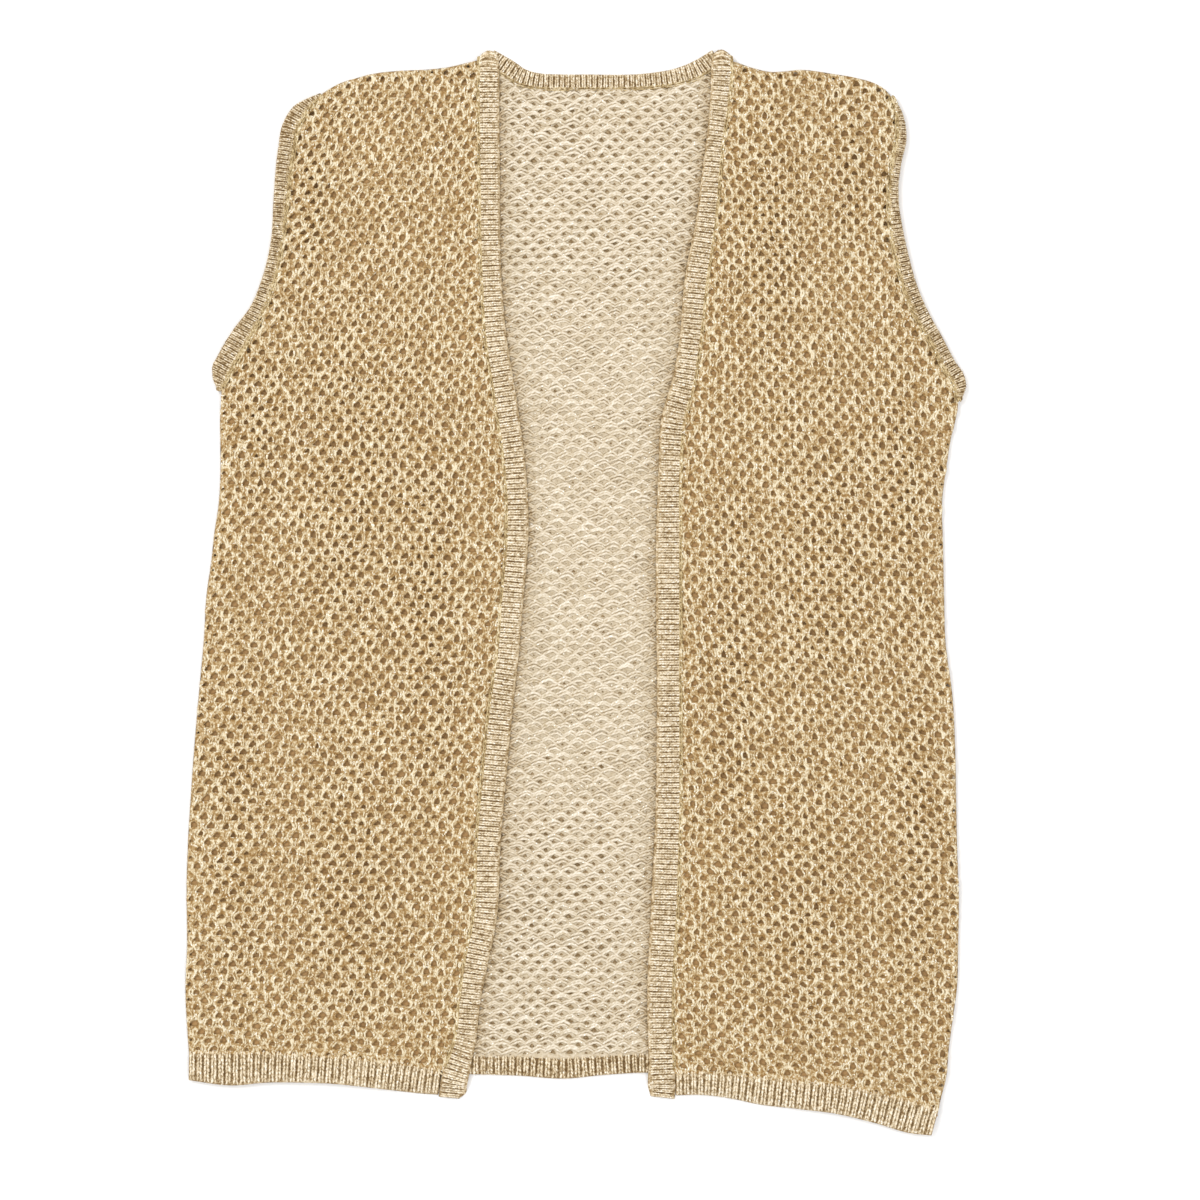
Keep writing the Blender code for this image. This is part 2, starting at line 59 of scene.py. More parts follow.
# Driving sizes, as in the solids
WALL = 3.0  # one layer of knit
SEAM_GAP = 0.3
BAND_RIB = 3.4  # pitch of the ribs along the front bands
NECK_RIB = 3.6  # along the neck band
ARMHOLE_RIB = 2.9  # along the armhole bands
HEM_RIB = 4.8  # along the hems
SHOULDER_DOME = 4.5  # how far a front band's end bulges up over the shoulder
DOME_REACH = 10.0  # and how far down the band that goes
STEP_CLEAR = 5.0  # past the back hem the fronts lie level this far
STEP_RUN = 7.0  # and come down to the table over this
UPPER = WALL + SEAM_GAP  # height of the upper layer's under side
OFF_TABLE = 0.2  # a panel's holes and loops go no lower than this

# Knit
LEG_RADIUS = 0.76  # of the yarn of a stitch's leg
LOOP_RADIUS = 1.08  # of a loop's yarn on the wrong side
CHAIN_RADIUS = 0.7  # of the yarn of a seam's chain
WALE_SWAY = 0.24  # how far the wales swing to and fro round the holes, in wales
HEM_LAP = 2.4  # how far a front's stitches run on over its hem
HEM_COVER = 10.0  # how far the back's covered side runs on over its hem
COVER_CELL = (2, 3)  # wales and courses in a cell of that covered side
CELL_REACH = 6.0  # how far outside a panel a hole may lie and still have its cell
EDGE_INSET = 0.8  # how far stitches keep back from a front's turned edges
FOLD_RADIUS = 2.9  # of the cloth where it turns under at a side or a shoulder
YARN_ARC = (-85, -30, 30, 85)  # angles round a length of yarn, with 0 at its top
CURVE_SAMPLES = 2000
TAU = 2 * math.pi

random = np.random.default_rng(11)


class Seam(NamedTuple):
    """A point of a band's seam line, and the band's width there."""

    x: float
    y: float
    width: float


class Edge(NamedTuple):
    """A point of a panel's own edge."""

    x: float
    y: float


class Fold(NamedTuple):
    """A soft ridge of the upper layer: its middle, its reach each way and its height."""

    x: float
    y: float
    across: float
    along: float
    height: float


class Guide(NamedTuple):
    """One course of a lattice: its number and where its first and last wale lie."""

    course: float
    first_x: float
    first_y: float
    last_x: float
    last_y: float


# Front bands, from the shoulder fold down to the hem
RIGHT_FRONT_BAND = (
    Seam(-63.8, 355.8, 12.8), Seam(-64, 344, 13.5), Seam(-64, 322, 13.5), Seam(-63.5, 275, 13.5),
    Seam(-62, 208, 13), Seam(-59.5, 168, 14), Seam(-53.5, 128, 14.5), Seam(-46.5, 78, 14),
    Seam(-45.5, 42, 14.5), Seam(-49, -5, 14.5), Seam(-52.5, -45, 14.5), Seam(-56.5, -72, 15.5),
    Seam(-62, -124, 16), Seam(-65.5, -165, 16), Seam(-68, -218, 15.5), Seam(-73.5, -245, 15.5),
    Seam(-77, -271, 14), Seam(-80, -297, 14), Seam(-85, -312, 16), Seam(-88.9, -325.5, 17),
    Seam(-89.6, -331.5, 16.4), Seam(-90, -335.3, 12.5),
)
LEFT_FRONT_BAND = (
    Seam(103.2, 356.3, 12.8), Seam(103.2, 344, 13.3), Seam(101.5, 324, 12.3), Seam(98, 301, 11),
    Seam(95.5, 275, 12), Seam(93, 247, 13), Seam(87.5, 208, 15), Seam(83, 168, 14),
    Seam(79, 141, 14.5), Seam(72, 112, 15.5), Seam(69.5, 82, 14.5), Seam(69.5, 42, 16),
    Seam(69.5, -72, 15.5), Seam(69.5, -145, 16.5), Seam(67.5, -210, 17.5), Seam(64.5, -271, 17),
    Seam(65, -311, 16.5), Seam(65.3, -332, 16.6), Seam(64.8, -336.6, 15),
)

# Back neck band, from the right shoulder to the left
BACK_NECK_BAND = (
    Seam(-60, 352, 10.5), Seam(-47.5, 343, 12), Seam(-39, 338, 11.3), Seam(-26.5, 334.7, 10.7),
    Seam(-10.5, 334, 10.4), Seam(9.5, 334.2, 10.2), Seam(29.5, 334.2, 9.9), Seam(50, 335.1, 10.2),
    Seam(69.5, 337.8, 11), Seam(83, 342, 12), Seam(97, 352, 10.5),
)

# Armhole bands, from the shoulder down to the underarm
RIGHT_ARMHOLE_BAND = (
    Seam(-168.5, 330.2, 1.2), Seam(-174, 325.6, 4.2), Seam(-179, 319, 8.5), Seam(-184.5, 309, 10),
    Seam(-187.5, 294, 10), Seam(-192, 260, 8.6), Seam(-195, 234, 7.2), Seam(-200.5, 207, 7.8),
    Seam(-208, 186, 8.8), Seam(-217.5, 168, 11.8), Seam(-226.5, 152, 12.3), Seam(-231.5, 143, 11.2),
    Seam(-233.8, 138.6, 7.5), Seam(-234.9, 135.4, 3.6), Seam(-235.3, 132.4, 1.2),
)
LEFT_ARMHOLE_BAND = (
    Seam(209.3, 329.3, 0.9), Seam(211.7, 324.5, 1.8), Seam(213.6, 319.3, 3), Seam(214.6, 311.5, 4.4),
    Seam(214.3, 303, 5.6), Seam(211.3, 286, 5.2), Seam(209.2, 271, 5.4), Seam(208.6, 256, 6.4),
    Seam(209.6, 243, 7.4), Seam(213, 224, 8), Seam(219, 201, 8.4), Seam(227, 182, 8.5),
    Seam(236.5, 166, 8), Seam(245.5, 149, 8), Seam(250.5, 140.3, 8.5), Seam(252.8, 135, 7),
    Seam(253.9, 130.6, 3.8), Seam(254.2, 126.6, 1.3),
)

# Hems, from the viewer's left to right, with the panel's edge as the seam line
RIGHT_FRONT_HEM = (
    Seam(-256.8, -306.5, 17.5), Seam(-228, -306.8, 20.7), Seam(-206, -307, 18.7),
    Seam(-183, -308, 17.6), Seam(-156, -309.8, 17), Seam(-143.5, -310.8, 17.4),
    Seam(-116.5, -314, 17.5), Seam(-100, -316.6, 16.7), Seam(-89.2, -318, 16),
)
LEFT_FRONT_HEM = (
    Seam(66.5, -319.8, 14.5), Seam(83, -319.6, 14.4), Seam(109, -321.3, 16), Seam(122.5, -322.8, 17.4),
    Seam(149.5, -325.6, 17.8), Seam(176, -328.5, 18.1), Seam(202.5, -334, 18.8), Seam(229, -341, 19.2),
    Seam(241, -344.3, 17),
)
BACK_HEM = (
    Seam(-255.5, -308.5, 14.5), Seam(-163, -309.5, 11.5), Seam(-72, -308.3, 12),
    Seam(-37, -308.8, 12.5), Seam(-7, -310, 13.2), Seam(16, -308.6, 12.4), Seam(46, -307, 12.3),
    Seam(122, -315.5, 13), Seam(182, -325.5, 16), Seam(240, -338.5, 17.5),
)

# The garment's sides, from the underarm down to the hem's seam
RIGHT_SIDE = (
    Edge(-235.4, 128), Edge(-236.2, 115), Edge(-236, 100), Edge(-236, 76), Edge(-237.2, 58),
    Edge(-240.2, 38), Edge(-241.8, 22), Edge(-245.2, -2), Edge(-246.7, -28), Edge(-248.4, -48),
    Edge(-251, -76), Edge(-253.6, -107), Edge(-255.5, -134), Edge(-257.4, -165), Edge(-258.4, -195),
    Edge(-258.1, -235), Edge(-259.2, -264), Edge(-258, -290), Edge(-256.8, -306.5),
)
LEFT_SIDE = (
    Edge(254, 122.5), Edge(252.4, 114), Edge(249, 100), Edge(246.8, 85), Edge(243.6, 60),
    Edge(244.2, 35), Edge(245, -5), Edge(245.7, -30), Edge(250.8, -72), Edge(252.3, -103),
    Edge(253, -138), Edge(253.6, -170), Edge(254.8, -205), Edge(254.3, -235), Edge(253.4, -264),
    Edge(251.2, -280), Edge(248, -304), Edge(246.2, -323), Edge(242.4, -337.5), Edge(240.8, -344.1),
)

# The shoulders, from the armhole in to the neck
RIGHT_SHOULDER = (
    Edge(-168.5, 331.2), Edge(-161.5, 335.7), Edge(-153.5, 339.5), Edge(-145.5, 341.7),
    Edge(-137.5, 344), Edge(-129, 345.5), Edge(-117, 346.5), Edge(-97, 347.5), Edge(-86, 348.7),
    Edge(-75.5, 351), Edge(-64, 354),
)
LEFT_SHOULDER = (
    Edge(209.3, 330.3), Edge(206.2, 333.6), Edge(198, 338.7), Edge(190, 341), Edge(182, 342.8),
    Edge(172, 344.3), Edge(162, 346), Edge(149, 347.2), Edge(139, 346.2), Edge(129.5, 345.8),
    Edge(120, 347.8), Edge(104, 353.3),
)

# The soft folds of the fronts: ridges, with troughs left between them
FOLDS = (
    Fold(-176, 262, 9, 42, 2.4),
    Fold(-212, 120, 14, 60, 1.6),
    Fold(-150, 60, 40, 120, 1.6),
    Fold(-95, -20, 18, 120, 1.8),
    Fold(-226, -150, 16, 110, 1.8),
    Fold(-150, -190, 34, 90, 1.4),
    Fold(206, 286, 4, 36, 1.2),
    Fold(183, 285, 9, 46, 2.6),
    Fold(130, 230, 20, 80, 1.6),
    Fold(216, 70, 16, 70, 1.8),
    Fold(165, 20, 34, 110, 1.6),
    Fold(105, -60, 18, 120, 1.6),
    Fold(226, -160, 16, 100, 2.0),
    Fold(150, -210, 36, 80, 1.4),
)

# How the courses of each panel lie, as far as they would reach if nothing cut them
FRONT_WALES = 40
RIGHT_FRONT_LATTICE = (
    Guide(-4, -299, -325, -87, -339), Guide(0, -299, -304, -85.5, -317.5),
    Guide(20, -287, -203, -73, -210), Guide(40, -271, -92, -61, -101.5),
    Guide(60, -252, 15.5, -50.5, 5.5), Guide(80, -237.5, 124.5, -43, 114.5),
    Guide(100, -221.5, 230.5, -30, 220), Guide(120, -193.5, 334, -11.5, 326),
    Guide(132, -180.5, 394, -1, 388.5),
)
LEFT_FRONT_LATTICE = (
    Guide(-6, 65, -349, 282, -379), Guide(0, 65, -319, 281.5, -347.5),
    Guide(20, 64, -219, 279.5, -243), Guide(40, 61.5, -112.5, 272.5, -135.5),
    Guide(60, 56, -4.5, 255.5, -25), Guide(80, 52, 106.5, 247.5, 87),
    Guide(100, 52, 212, 242.5, 206.5), Guide(120, 43.5, 305, 236.5, 319.5),
    Guide(132, 37.5, 362, 230.5, 387.5),
)
BACK_WALES = 104
BACK_LATTICE = (
    Guide(-10, -265, -361, 268, -361), Guide(0, -265, -311, 268, -311),
    Guide(30, -266, -161, 268, -161), Guide(65, -264, 14, 272, 14), Guide(100, -260, 189, 262, 189),
    Guide(136, -252, 364, 258, 364),
)


# ---- curves

def smooth_curve(rows):
    """Evenly spaced points on a smooth curve through the rows, with their other
    columns."""
    rows = np.array(rows, dtype=float)
    chord = run_along(rows)
    slope = np.gradient(rows, chord, axis=0)
    place = np.linspace(0, chord[-1], CURVE_SAMPLES)
    k = np.clip(np.searchsorted(chord, place, side="right") - 1, 0, len(rows) - 2)
    span = (chord[k + 1] - chord[k])[:, None]
    t = (place - chord[k])[:, None] / span
    curve = (
        (1 + 2 * t) * (1 - t) ** 2 * rows[k]
        + t * (1 - t) ** 2 * span * slope[k]
        + t**2 * (3 - 2 * t) * rows[k + 1]
        + t**2 * (t - 1) * span * slope[k + 1]
    )
    length = run_along(curve)
    even = np.linspace(0, length[-1], CURVE_SAMPLES)
    return np.column_stack([np.interp(even, length, column) for column in curve.T])


def plan_curves(*tables):
    """The smooth curves through the tables, end to end, as seen from above."""
    return np.vstack([smooth_curve(table)[:, :2] for table in tables])


def run_along(points):
    """Distance along a line of points, from its first to each."""
    steps = np.linalg.norm(np.diff(points[:, :2], axis=0), axis=1)
    return np.concatenate([[0], np.cumsum(steps)])


def unit(vectors):
    """The vectors, each with a length of 1."""
    return vectors / np.linalg.norm(vectors, axis=-1, keepdims=True)


def left_of(points):
    """Unit directions square to a line of points, on its left."""
    along = unit(np.gradient(points[:, :2], axis=0))
    return np.column_stack([-along[:, 1], along[:, 0]])


def x_at(line, y):
    """Where a line that runs down or up passes the heights y."""
    line = line[np.argsort(line[:, 1])]
    return np.interp(y, line[:, 1], line[:, 0])


def y_at(line, x):
    """Where a line that runs across passes the places x."""
    line = line[np.argsort(line[:, 0])]
    return np.interp(x, line[:, 0], line[:, 1])


# The tables' origin, seen from the frame's
TABLE_SHIFT = np.array([
    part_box("right_front_panel")[0].x / MM - smooth_curve(RIGHT_SIDE)[:, 0].min(),
    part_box("left_front_band")[1].y / MM - LEFT_FRONT_BAND[0].y - SHOULDER_DOME,
])


# ---- heights

def free_edge(table, side):
    """The free edge of a band. side is 1 where it lies to the left of its seam."""
    line = smooth_curve(table)
    return line[:, :2] + side * line[:, 2:] * left_of(line)


BACK_HEM_EDGE = free_edge(BACK_HEM, -1)


def folds_at(xy):
    """How far the soft folds lift the upper layer."""
    lift = np.zeros(xy.shape[:-1])
    for fold in FOLDS:
        across = (xy[..., 0] - fold.x) / fold.across
        along = (xy[..., 1] - fold.y) / fold.along
        lift += fold.height * np.exp(-(across**2) - along**2)
    return lift


def upper_base(xy):
    """Height of the upper layer's under side: on the lower layer, and eased down to
    the table past the back hem."""
    past_edge = y_at(BACK_HEM_EDGE, xy[..., 0]) - xy[..., 1]
    t = np.clip((past_edge - STEP_CLEAR) / STEP_RUN, 0, 1)
    return UPPER * (1 - t * t * (3 - 2 * t)) + folds_at(xy)


def lower_base(xy):
    """Height of the lower layer's under side: the table."""
    return np.zeros(xy.shape[:-1])


def unevenness(x, y, length, seed):
    """A smooth, repeatable waviness of about 1 up and down, whose waves are about
    the given length."""
    draw = np.random.default_rng(seed)
    total = np.zeros(np.broadcast(x, y).shape)
    for _ in range(7):
        angle, phase = draw.uniform(0, TAU, 2)
        wave = TAU / (length * draw.uniform(0.7, 1.5))
        total += np.sin(wave * (x * math.cos(angle) + y * math.sin(angle)) + phase)
    return total / 2.6


# ---- meshes

def grid_faces(grid):
    """Four-sided faces of one or more grids of point numbers, in the last two axes."""
    corners = [grid[..., :-1, :-1], grid[..., :-1, 1:], grid[..., 1:, 1:], grid[..., 1:, :-1]]
    return np.stack(corners, axis=-1).reshape(-1, 4)


def raised(xy, z):
    """Places with their heights."""
    return np.concatenate([xy, z[..., None]], axis=-1)


def numbered(*shape):
    """The numbers of a grid of points."""
    return np.arange(np.prod(shape)).reshape(shape)


def add_piece(name, points, faces, shade_depth, tint, twist, material, chart=None):
    """A mesh of points in millimetres and of faces with four corners. The values at the
    points for its material are how near the crest of the yarn each lies, which sets how
    much painted shade darkens the deep places, how light its yarn, and turns of the yarn's
    ply. chart gives the places of the faces' corners on its texture map, which else is the plan."""
    points = np.asarray(points, float).reshape(-1, 3)
    if chart is None:
        chart = points[faces.ravel(), :2]
    chart = (chart - chart.min(axis=0)) / np.ptp(chart, axis=0)
    points = (points + [*TABLE_SHIFT, 0]) * MM
    mesh = bpy.data.meshes.new(name)
    mesh.vertices.add(len(points))
    mesh.vertices.foreach_set("co", points.ravel())
    mesh.loops.add(faces.size)
    mesh.loops.foreach_set("vertex_index", faces.ravel().astype(np.int32))
    mesh.polygons.add(len(faces))
    mesh.polygons.foreach_set("loop_start", np.arange(0, faces.size, 4, dtype=np.int32))
    mesh.update(calc_edges=True)
    mesh.uv_layers.new(name="OFBake").data.foreach_set("uv", chart.ravel())
    mesh.validate()
    mesh.shade_smooth()
    for label, values in (("shade_depth", shade_depth), ("tint", tint), ("twist", twist)):
        layer = mesh.attributes.new(label, "FLOAT", "POINT")
        values = np.broadcast_to(np.ravel(values), len(points)).astype(np.float32)
        layer.data.foreach_set("value", values)
    mesh.materials.append(material)
    piece = bpy.data.objects.new(name, mesh)
    bpy.context.scene.collection.objects.link(piece)
    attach(piece, "root")
    return piece


def add_yarns(name, line, radius, shade_depth, sides, plies, material, mottle=0.28):
    """Lengths of half-round yarn. line is (lengths, points, 3), with a radius and a depth
    at its points, which sets their painted shade. sides is how much darker the yarn's
    sides are painted than its top, painted shade where the yarn turns down into the cloth;
    plies is how many turns its ply makes along each length, and mottle is how much the
    lengths differ in shade."""
    along = unit(np.gradient(line, axis=1))
    side = unit(np.cross(along, [0, 0, 1]))
    top = np.cross(side, along)
    arc = np.radians(YARN_ARC)
    ring = np.sin(arc)[:, None] * side[:, :, None] + np.cos(arc)[:, None] * top[:, :, None]
    points = line[:, :, None] + radius[:, :, None, None] * ring
    shape = points.shape[:3]
    faces = grid_faces(numbered(*shape))
    # The yarn's sides are painted darker than its top: painted shade where it turns away from the light.
    beside = np.abs(np.sin(arc)) > 0.9
    shade_depth = np.broadcast_to(np.asarray(shade_depth)[..., None] - sides * beside, shape)
    tint = random.normal(0.5, mottle, (shape[0], 1, 1))
    tint = np.broadcast_to(np.clip(tint, 0, 1), shape)
    part = np.linspace(0, plies, shape[1])[:, None] + 0.5 * np.sin(arc)
    twist = random.uniform(0, 1, (shape[0], 1, 1)) + part
    return add_piece(name, points, faces, shade_depth, tint, twist, material)


# ---- materials

def srgb(red, green, blue):
    """A colour given as it looks on a screen, from 0 to 255, as the shader takes it."""
    parts = np.array([red, green, blue]) / 255
    linear = np.where(parts <= 0.04045, parts / 12.92, ((parts + 0.055) / 1.055) ** 2.4)
    return (*linear, 1)


class Nodes:
    """A material's nodes, each made with what feeds it."""

    def __init__(self, material):
        material.use_nodes = True
        self.tree = material.node_tree
        self.shader = self.tree.nodes["Principled BSDF"]

    def feed(self, socket, value):
        """Link a node's input to another's output, or set it to a value."""
        if isinstance(value, bpy.types.NodeSocket):
            self.tree.links.new(value, socket)
        else:
            socket.default_value = value

    def add(self, kind, inputs, **settings):
        made = self.tree.nodes.new(kind)
        for key, value in settings.items():
            setattr(made, key, value)
        for key, value in inputs.items():
            self.feed(made.inputs[key], value)
        return made

    def maths(self, operation, a, b):
        return self.add("ShaderNodeMath", {0: a, 1: b}, operation=operation).outputs[0]

    def value_at_points(self, label):
        return self.add("ShaderNodeAttribute", {}, attribute_name=label).outputs["Fac"]

    def swing(self, value, size):
        """How far a value is from 0.5, times a size."""
        return self.maths("MULTIPLY", self.maths("SUBTRACT", value, 0.5), size)

    def noise(self, place, scale, detail):
        inputs = {"Vector": place, "Scale": scale, "Detail": detail, "Roughness": 0.6}
        return self.add("ShaderNodeTexNoise", inputs).outputs["Fac"]

    def ramp(self, value, shades):
        """The shades, evenly from the first where the value is 0 to the last at 1."""
        made = self.add("ShaderNodeValToRGB", {"Fac": value})
        stops = made.color_ramp.elements
        stops[0].color = shades[0]
        stops[1].color = shades[-1]
        for k in range(1, len(shades) - 1):
            stops.new(k / (len(shades) - 1)).color = shades[k]
        return made.outputs["Color"]

    def blend(self, share, first, second):
        """The first colour where the share is 0 and the second where it is 1."""
        made = self.add("ShaderNodeMix", {}, data_type="RGBA")
        for key, value in (("Factor", share), ("A", first), ("B", second)):
            socket = next(socket for socket in made.inputs if socket.name == key and socket.enabled)
            self.feed(socket, value)
        return next(socket for socket in made.outputs if socket.enabled)


FIBRE_SCALE = 560.0  # waves of the fibre's noise in a metre
PATCH_SCALE = 220.0  # of the larger patches
PATCH_SHARE = 0.3  # how strong those are beside the fibre
TINT_SIZE = 0.35  # how much the lengths of yarn differ in shade
PLY_SIZE = 0.1  # how much the ply shows in the shade
SPECK_SCALE = 1000.0  # specks of the metallic thread in a metre
SPECK_REACH = 0.45  # how far a speck reaches, as a share of its cell
# Painted glints: only yarn near its crest, where the light falls, gets the near-white specks.
GLINT_CREST = 0.45  # only yarn nearer its crest than this has specks
# The specks' near-white colour is a painted glint of the metallic thread.
THREAD_GLINT = (255, 252, 242)
YARN_ROUGHNESS = 0.8
THREAD_ROUGHNESS = 0.35
BUMP_HEIGHT = 0.0005


def thread_glints(nodes, place, shade, glint):
    """1 on the specks of metallic thread, 0 elsewhere: painted near-white glints on the lit crests."""
    cells = nodes.add("ShaderNodeTexVoronoi", {"Vector": place, "Scale": SPECK_SCALE})
    draw = nodes.add("ShaderNodeSeparateColor", {"Color": cells.outputs["Color"]}).outputs[0]
    drawn = nodes.maths("LESS_THAN", draw, glint)
    shining = nodes.maths("MULTIPLY", drawn, nodes.maths("GREATER_THAN", shade, GLINT_CREST))
    near = nodes.maths("LESS_THAN", cells.outputs["Distance"], SPECK_REACH)
    return nodes.maths("MULTIPLY", shining, near)


def yarn_material(name, fleck, glint, *shades):
    """Soft yarn with a fine metallic thread. fleck is how strongly it is mottled, glint
    is the share of specks of the thread, painted near white as glints, and shades are the
    colours from the yarn's deepest place to its crest: the yarn's own gold shows more deep
    down than at its cream crest, and the darker deep shades are also painted shade in the
    recesses."""
    material = bpy.data.materials.new(name)
    nodes = Nodes(material)
    place = nodes.add("ShaderNodeTexCoord", {}).outputs["Object"]
    # How near the crest each place lies: the ramp below paints the deep places darker, painted shade in
    # the recesses.
    shade = nodes.value_at_points("shade_depth")
    fibre = nodes.noise(place, FIBRE_SCALE, 3.0)
    ply = nodes.maths("SINE", nodes.maths("MULTIPLY", nodes.value_at_points("twist"), TAU), 0.0)
    parts = [
        nodes.swing(fibre, fleck),
        nodes.swing(nodes.noise(place, PATCH_SCALE, 1.0), PATCH_SHARE * fleck),
        nodes.swing(nodes.value_at_points("tint"), TINT_SIZE),
        nodes.maths("MULTIPLY", ply, PLY_SIZE),
    ]
    for part in parts:
        shade = nodes.maths("ADD", shade, part)
    yarn = nodes.ramp(shade, [srgb(*colour) for colour in shades])
    shining = thread_glints(nodes, place, shade, glint)
    smoother = nodes.maths("MULTIPLY", shining, YARN_ROUGHNESS - THREAD_ROUGHNESS)
    height = nodes.maths("ADD", fibre, nodes.maths("MULTIPLY", ply, 0.12))
    bump = nodes.add("ShaderNodeBump", {"Height": height, "Strength": 0.6, "Distance": BUMP_HEIGHT})
    # The specks take a near-white colour, a painted glint, and a lower roughness, the thread's own.
    looks = {
        "Base Color": nodes.blend(shining, yarn, srgb(*THREAD_GLINT)),
        "Roughness": nodes.maths("SUBTRACT", YARN_ROUGHNESS, smoother),
        "Specular IOR Level": 0.3,
        "Normal": bump.outputs["Normal"],
    }
    for key, value in looks.items():
        nodes.feed(nodes.shader.inputs[key], value)
    return material


# Each ramp runs from the deepest place to the crest; its darkest shades are partly painted shade.
FRONT_YARN = yarn_material(
    "front_yarn", 3.5, 0.10,
    (149, 114, 65), (171, 140, 92), (191, 165, 123), (211, 193, 157), (231, 218, 188),
)
# The back's covered side, painted a darker golden brown: painted shade that stands for the shadow seen
# down the fronts' holes.
SHADED_COVER_YARN = yarn_material(
    "shaded_cover_yarn", 0.8, 0.0,
    (154, 116, 70), (172, 132, 84), (186, 147, 97), (200, 162, 112), (212, 179, 132),
)
BACK_YARN = yarn_material(
    "back_yarn", 0.9, 0.03,
    (130, 106, 72), (172, 150, 116), (200, 184, 156), (218, 205, 183), (238, 229, 212),
)
RIB_YARN = yarn_material(
    "rib_yarn", 1.7, 0.08,
    (118, 90, 52), (162, 136, 96), (208, 188, 154), (233, 217, 188), (248, 238, 218),
)
SEAM_YARN = yarn_material(
    "seam_yarn", 1.7, 0.08,
    (108, 84, 48), (152, 127, 84), (184, 161, 117), (208, 189, 148), (234, 220, 188),
)


# ---- the lattice of a panel

class Panel:
    """A panel's outline and the lattice of its knit. free names the edges at which its
    cloth turns under."""

    def __init__(self, guides, wales, sides, top, bottom, base, free, seed):
        self.guides = np.array(guides, float)
        self.wales = wales
        self.low, self.high = sides
        self.top, self.bottom = top, bottom
        self.base = base
        self.free = free
        self.seed = seed

    def plan(self, wale, course):
        """Where a place in the lattice lies, and a little unevenness."""
        at, *ends = self.guides.T
        first_x, first_y, last_x, last_y = (np.interp(course, at, column) for column in ends)
        part = wale / self.wales
        x = first_x + (last_x - first_x) * part
        y = first_y + (last_y - first_y) * part
        dx = 0.7 * unevenness(x, y, 45, self.seed) + 0.3 * unevenness(x, y, 15, self.seed + 1)
        dy = 0.7 * unevenness(x, y, 50, self.seed + 2) + 0.3 * unevenness(x, y, 17, self.seed + 3)
        return np.stack([x + dx, y + dy], axis=-1)

    def places(self, offset=0.0, step=(1, 1)):
        """Wale and course of every place of a grid over the panel."""
        courses = np.arange(self.guides[0, 0], self.guides[-1, 0] + 1, step[1])
        wale, course = np.meshgrid(np.arange(-2, self.wales + 3, step[0]) + offset, courses)
        return wale.ravel(), course.ravel()

    def rooms(self, xy):
        """How far each place lies inside each edge of the outline."""
        x, y = xy[..., 0], xy[..., 1]
        return {
            "low": x - x_at(self.low, y),
            "high": x_at(self.high, y) - x,
            "top": y_at(self.top, x) - y,
            "bottom": y - y_at(self.bottom, x),
        }

    def room(self, xy):
        """How far inside the outline each place lies, or less than 0 outside."""
        return np.minimum.reduce(list(self.rooms(xy).values()))

    def held_in(self, xy, over_hem=0.0, inset=0.0):
        """The places, with those outside the outline moved on to it. over_hem is how far
        they may run on over the hem, and inset how far they keep back from the free edges."""
        low, high, top = (inset * (edge in self.free) for edge in ("low", "high", "top"))
        x, y = xy[..., 0], xy[..., 1]
        y = np.clip(y, y_at(self.bottom, x) - over_hem, y_at(self.top, x) - top)
        x = np.clip(x, x_at(self.low, y) + low, x_at(self.high, y) - high)
        return np.stack([x, y], axis=-1)

    def turned(self, xy):
        """How far the cloth has turned away from level at its free edges."""
        rooms = self.rooms(xy)
        drop = np.zeros(xy.shape[:-1])
        for edge in self.free:
            far = np.clip(rooms[edge], 0, FOLD_RADIUS)
            drop = drop + FOLD_RADIUS - np.sqrt(FOLD_RADIUS**2 - (FOLD_RADIUS - far) ** 2)
        return np.minimum(drop, FOLD_RADIUS)

    def surface(self, xy):
        """Height of the upper side of the cloth."""
        return self.base(xy) + WALL - self.turned(xy)

    def cut(self):
        """The width, length and area of the flat panel, in metres."""
        across = np.linspace(self.low[:, 0].min(), self.high[:, 0].max(), CURVE_SAMPLES)
        up = np.linspace(self.bottom[:, 1].min(), self.top[:, 1].max(), CURVE_SAMPLES // 2)
        inside = self.room(np.stack(np.meshgrid(across, up), axis=-1)) > 0
        width, length = np.ptp(across), np.ptp(up)
        return width * MM, length * MM, inside.mean() * width * length * MM**2


# A hole's rim, as a rounded triangle with its point up, and the outline of its cell
RIM = np.array([
    (1, -0.35), (0.6, 0.3), (0, 0.85), (-0.6, 0.3), (-1, -0.35), (-0.55, -0.6), (0, -0.55), (0.55, -0.6),
])
CELL = np.array([
    (1, 0), (0.5, 0.5), (0, 1), (-0.5, 0.5), (-1, 0), (-0.5, -0.5), (0, -1), (0.5, -0.5),
])


class Ground(NamedTuple):
    """A ground cloth: half a hole's width and height in wales and courses, and how far
    the web, the holes' rims and the feet of their walls lie under the upper side, with
    how near the crest of the yarn their shade is, so that the rims and feet down in the
    holes are painted darker as shade."""

    hole: tuple
    drops: tuple
    shade_depths: tuple


# Web, rims and feet step darker down into the holes: painted shade in the pits.
FRONT_GROUND = Ground(hole=(0.56, 0.53), drops=(1.0, 1.4, 2.4), shade_depths=(0.42, 0.32, 0.22))
BACK_GROUND = Ground(hole=(0.4, 0.36), drops=(0.9, 1.0, 2.0), shade_depths=(0.6, 0.5, 0.3))


